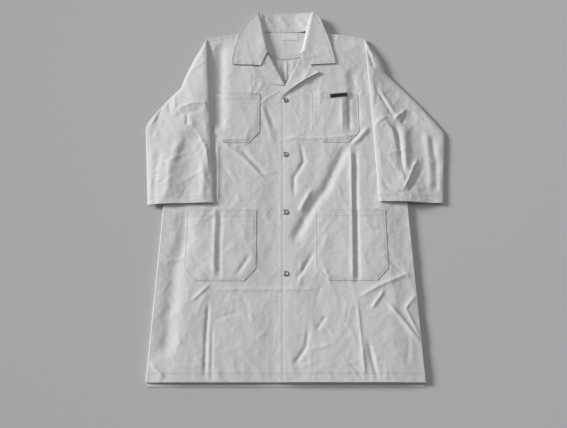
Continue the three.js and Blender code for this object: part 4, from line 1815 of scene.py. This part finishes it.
    def underarm(self, finishes: Finishes) -> None:
        """Builds the cloth sewn to the armhole, which the sleeve covers as it lies.

        Args:
            finishes: The coat's finishes.
        """
        pattern, word = self.pattern, self.side.word
        bottom = pattern.armpit[1] - self.underarm_drop
        share = self.underarm_drop / (pattern.armpit[1] - pattern.waist[1])
        side_point = (pattern.armpit[0] + (pattern.waist[0] - pattern.armpit[0]) * share, bottom)
        heights = np.linspace(pattern.shoulder[1], bottom, 15)[1:]
        spread = pattern.shoulder[0] + math.tan(self.underarm_angle) * (pattern.shoulder[1] - heights)
        edge = sorted(self.outer(), key=lambda p: p[1])
        covered = np.interp(heights, [p[1] for p in edge], [p[0] for p in edge]) - self.underarm_clear
        seam = sorted([side_point, *pattern.armhole()], key=lambda p: p[1])
        sewn = np.interp(heights, [p[1] for p in seam], [p[0] for p in seam])
        reached = np.minimum(spread, covered)
        free = [(float(x), float(y)) for x, y, s in zip(reached, heights, sewn) if x > s + 2.0]
        outline = onto(self.side, [side_point, *pattern.armhole(), *free])
        Panel(
            word + "_underarm_cloth", outline,
            lambda xy: np.maximum(self.under(xy) - self.underarm_sunk, TABLE), Hold("root"),
            spacing=5.0, thickness=0.5, held="folded", rests_on=[word + "_front_cloth"],
        ).make(finishes.cloth)

    def build(self, finishes: Finishes) -> None:
        """Builds both lengths, the cloth under the arm and the stitches of the cuff.

        Args:
            finishes: The coat's finishes.
        """
        word = self.side.word
        names = [word + n for n in ("_under_sleeve", "_top_sleeve", "_sleeve_seam")]
        self.tube(word + "_sleeve_cloth", True, self.shoulder_hold(), names, finishes)
        self.underarm(finishes)
        lower = [n.replace("sleeve", "forearm") for n in names]
        self.tube(word + "_forearm_cloth", False, self.elbow_hold(), lower, finishes)
        Stitching(
            word + "_cuff_stitching", [s.path for s in self.cuff_seams()], self.top, Hold(word + "_forearm"),
        ).make(finishes.thread)


@dataclass
class Sides:
    """The folds that close the coat's sides, armholes and shoulders, from the back round to the fronts."""

    pattern: Pattern
    back: Back
    fronts: dict[Side, Front]

    def build(self, finishes: Finishes) -> None:
        """Builds the folds of both sides.

        Args:
            finishes: The coat's finishes.
        """
        pattern = self.pattern
        for side, front in self.fronts.items():
            lines = {
                "side": (pattern.side_line(), 3.2),
                "armhole": (pattern.armhole(), 2.4),
                "shoulder": ([pattern.shoulder, pattern.neck], 3.0),
            }
            for word, (line, bulge) in lines.items():
                drawn = onto(side, line)
                TurnedFold(
                    f"{side.word}_{word}_fold", drawn if side is Side.LEFT else drawn[::-1],
                    self.back.lie, front.lie, bulge, [f"{side.word}_{word}_seam"],
                    [f"back_cloth_{side.word}"],
                ).make(finishes.cloth)


# ---------------------------------------------------------------- snap fasteners


def pick_faces(piece: bpy.types.Object, chosen: Callable[[bmesh.types.BMFace], bool]) -> None:
    """Opens a piece for editing with only the chosen faces selected.

    Args:
        piece: The piece.
        chosen: Tells whether a face is wanted.
    """
    activate(piece)
    bpy.ops.object.mode_set(mode="EDIT")
    bpy.ops.mesh.select_mode(type="FACE")
    bpy.ops.mesh.select_all(action="DESELECT")
    shape = bmesh.from_edit_mesh(piece.data)
    for face in shape.faces:
        face.select_set(chosen(face))
    bmesh.update_edit_mesh(piece.data)


@dataclass
class Snap:
    """The pressed metal pieces of one snap fastener, each modelled once and copied."""

    radius: float
    rise: float
    steps: Sequence[tuple[float, float]]
    name: str
    body: str
    bevel: float = 0.14

    def model(self, material: bpy.types.Material) -> bpy.types.Object:
        """Models the piece round the origin: a disc whose top is stepped inwards, up or down.

        Args:
            material: Its finish.

        Returns:
            The piece to copy.
        """
        bpy.ops.object.select_all(action="DESELECT")
        bpy.ops.mesh.primitive_cylinder_add(
            vertices=40, radius=self.radius * MM, depth=self.rise * MM, location=(0, 0, self.rise * MM / 2))
        piece = bpy.context.view_layer.objects.active
        bpy.ops.object.transform_apply(location=True, rotation=True, scale=True)
        pick_faces(piece, lambda face: face.normal.z > 0.9)
        for inwards, upwards in self.steps:
            bpy.ops.mesh.inset(thickness=inwards * MM)
            bpy.ops.transform.translate(value=(0, 0, upwards * MM))
        bpy.ops.object.mode_set(mode="OBJECT")
        edge = piece.modifiers.new("edge", "BEVEL")
        edge.width, edge.segments, edge.limit_method = self.bevel * MM, 2, "ANGLE"
        bpy.ops.object.modifier_apply(modifier=edge.name)
        bpy.ops.object.shade_smooth_by_angle(angle=math.radians(32))
        piece.data.materials.append(material)
        return piece

    def build(self, material: bpy.types.Material, turned_over: bool = False) -> None:
        """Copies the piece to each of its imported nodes.

        Args:
            material: Its finish.
            turned_over: Whether its worked face looks down.
        """
        pattern = self.model(material)
        nodes = sorted(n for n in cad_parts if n.startswith(f"snap_{self.name}_"))
        for node in nodes:
            low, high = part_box(node)
            copy = pattern.copy()
            copy.data = pattern.data.copy()
            copy.name = f"{self.name}_{node.rsplit('_', 1)[1]}"
            bpy.context.scene.collection.objects.link(copy)
            foot = high.z - self.height() * MM
            place = Vector(((low.x + high.x) / 2, (low.y + high.y) / 2, foot))
            activate(copy)
            if turned_over:
                copy.rotation_euler.x = math.pi
                place.z = low.z + self.height() * MM
            copy.location = place
            bpy.ops.object.transform_apply(location=True, rotation=True, scale=True)
            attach(copy, self.body)
            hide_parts(node)
            LOG.info("%s: snap piece", copy.name)
        bpy.data.objects.remove(pattern)

    def height(self) -> float:
        """Gives the piece's whole height.

        Returns:
            The height in millimetres.
        """
        level, highest = self.rise, self.rise
        for _, upwards in self.steps:
            level += upwards
            highest = max(highest, level)
        return highest


# ---------------------------------------------------------------- the studio


@dataclass
class Studio:
    """A pale floor, soft light and the camera."""

    lens: float = 41.9
    distance: float = 1.80
    tilt: float = 19.6
    aim: tuple[float, float] = (-0.032, -0.092)
    floor_grey: float = 0.60
    key_place: tuple[float, float, float] = (-5.8, 1.9, 2.5)
    key_strength: float = 3.1
    key_spread: float = 16.0
    top_place: tuple[float, float, float] = (0.2, 0.5, 2.8)
    top_size: float = 2.2
    top_watts: float = 13.0
    sky: float = 0.14
    floor_size: float = 60.0
    floor_gap: float = 0.0004

    def floor(self) -> None:
        """Lays the floor just under the coat."""
        bpy.ops.object.select_all(action="DESELECT")
        bpy.ops.mesh.primitive_plane_add(size=self.floor_size, location=(0, 0, -self.floor_gap))
        floor = bpy.context.view_layer.objects.active
        floor.name = "studio_floor"
        material, board = new_material("studio_floor")
        grey = self.floor_grey
        shader = board.add("BsdfPrincipled", {
            "Base Color": (grey, grey, grey * 1.02, 1.0), "Roughness": 0.85, "Specular IOR Level": 0.2,
        })
        board.add("OutputMaterial", {"Surface": shader.outputs["BSDF"]})
        floor.data.materials.append(material)

    def hang(self, lamp: bpy.types.Light, place: tuple[float, float, float]) -> None:
        """Hangs a lamp so that it faces the coat.

        Args:
            lamp: The lamp.
            place: Where it hangs.
        """
        hung = bpy.data.objects.new(lamp.name, lamp)
        hung.location = place
        hung.rotation_euler = (-Vector(place)).to_track_quat("-Z", "Y").to_euler()
        bpy.context.scene.collection.objects.link(hung)

    def lights(self) -> None:
        """Hangs a broad low light on the wearer's right, so that folds show, and a soft one above."""
        key = bpy.data.lights.new("key_light", "SUN")
        key.energy, key.angle = self.key_strength, math.radians(self.key_spread)
        self.hang(key, self.key_place)
        top = bpy.data.lights.new("top_light", "AREA")
        top.energy, top.size = self.top_watts, self.top_size
        self.hang(top, self.top_place)

    def build(self) -> None:
        """Sets up the floor, the lights, the world and the camera."""
        self.floor()
        self.lights()
        world = bpy.data.worlds.new("studio")
        world.use_nodes = True
        background = world.node_tree.nodes["Background"]
        background.inputs["Color"].default_value = (1.0, 1.0, 1.0, 1.0)
        background.inputs["Strength"].default_value = self.sky
        bpy.context.scene.world = world
        bpy.context.scene.view_settings.view_transform = "Standard"
        camera = bpy.data.cameras.new("camera")
        camera.lens, camera.sensor_width = self.lens, 36.0
        seen = bpy.data.objects.new("camera", camera)
        lean = math.radians(self.tilt)
        back, up = self.distance * math.sin(lean), self.distance * math.cos(lean)
        seen.location = (self.aim[0], self.aim[1] - back, up)
        seen.rotation_euler = (lean, 0.0, 0.0)
        bpy.context.scene.collection.objects.link(seen)
        bpy.context.scene.camera = seen


# ---------------------------------------------------------------- the coat


def build_snaps(finishes: Finishes) -> None:
    """Builds the caps, sockets and studs of the snap fasteners.

    Args:
        finishes: The coat's finishes.
    """
    caps = Snap(
        radius=7.5, rise=0.6, name="cap", body="left_front",
        steps=((0.5, 0.5), (0.7, 0.35), (1.3, 0.25), (0.8, -0.1), (0.6, -0.55), (1.6, -0.1)),
    )
    sockets = Snap(
        radius=5.5, rise=0.5, name="socket", body="left_front",
        steps=((0.6, 0.4), (0.9, 0.5), (1.2, 0.2), (0.5, -0.9)),
    )
    studs = Snap(
        radius=5.5, rise=0.8, name="stud", body="right_front",
        steps=((0.6, 0.2), (2.4, 0.1), (0.3, 1.5), (0.5, 0.3)),
    )
    caps.build(finishes.snap)
    sockets.build(finishes.snap, turned_over=True)
    studs.build(finishes.snap)


def build_sleeves(pattern: Pattern, finishes: Finishes) -> None:
    """Builds both sleeves.

    Args:
        pattern: The coat's lines.
        finishes: The coat's finishes.
    """
    Sleeve(
        Side.LEFT, pattern, LEFT_SLEEVE_CREASES, kink=(293.0, 883.0), elbow=(451.0, 687.0),
        cuff_outer=(431.0, 477.0), cuff_inner=(253.0, 477.0), crook=730.0,
    ).build(finishes)
    Sleeve(
        Side.RIGHT, pattern, RIGHT_SLEEVE_CREASES, kink=(304.0, 836.0), elbow=(399.0, 712.0),
        cuff_outer=(377.0, 470.0), cuff_inner=(194.0, 474.0), crook=745.0, level=18.8, meet=858.0,
    ).build(finishes)


def main() -> None:
    """Builds the studio and the coat."""
    logging.basicConfig(level=logging.INFO, format="%(message)s")
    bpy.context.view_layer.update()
    Studio().build()
    pattern, finishes = Pattern(), Finishes()
    back = Back(pattern, finishes)
    back.build()
    fronts = {side: Front(side, pattern, finishes) for side in Side}
    for front in fronts.values():
        front.build()
    Sides(pattern, back, fronts).build(finishes)
    for side, front in fronts.items():
        for word in ("breast", "lower"):
            pocket = Pocket(front, word)
            pocket.build(finishes)
            if side is Side.LEFT and word == "breast":
                Tag(
                    "chest_tag_cloth", "chest_label", pocket.lie, pattern.fold_hold(side), "chest_label",
                    math.radians(6.5),
                ).build(finishes.chest_tag, finishes.thread)
    Collar(pattern, finishes, fronts).build()
    build_sleeves(pattern, finishes)
    build_snaps(finishes)


if __name__ == "__main__":
    main()
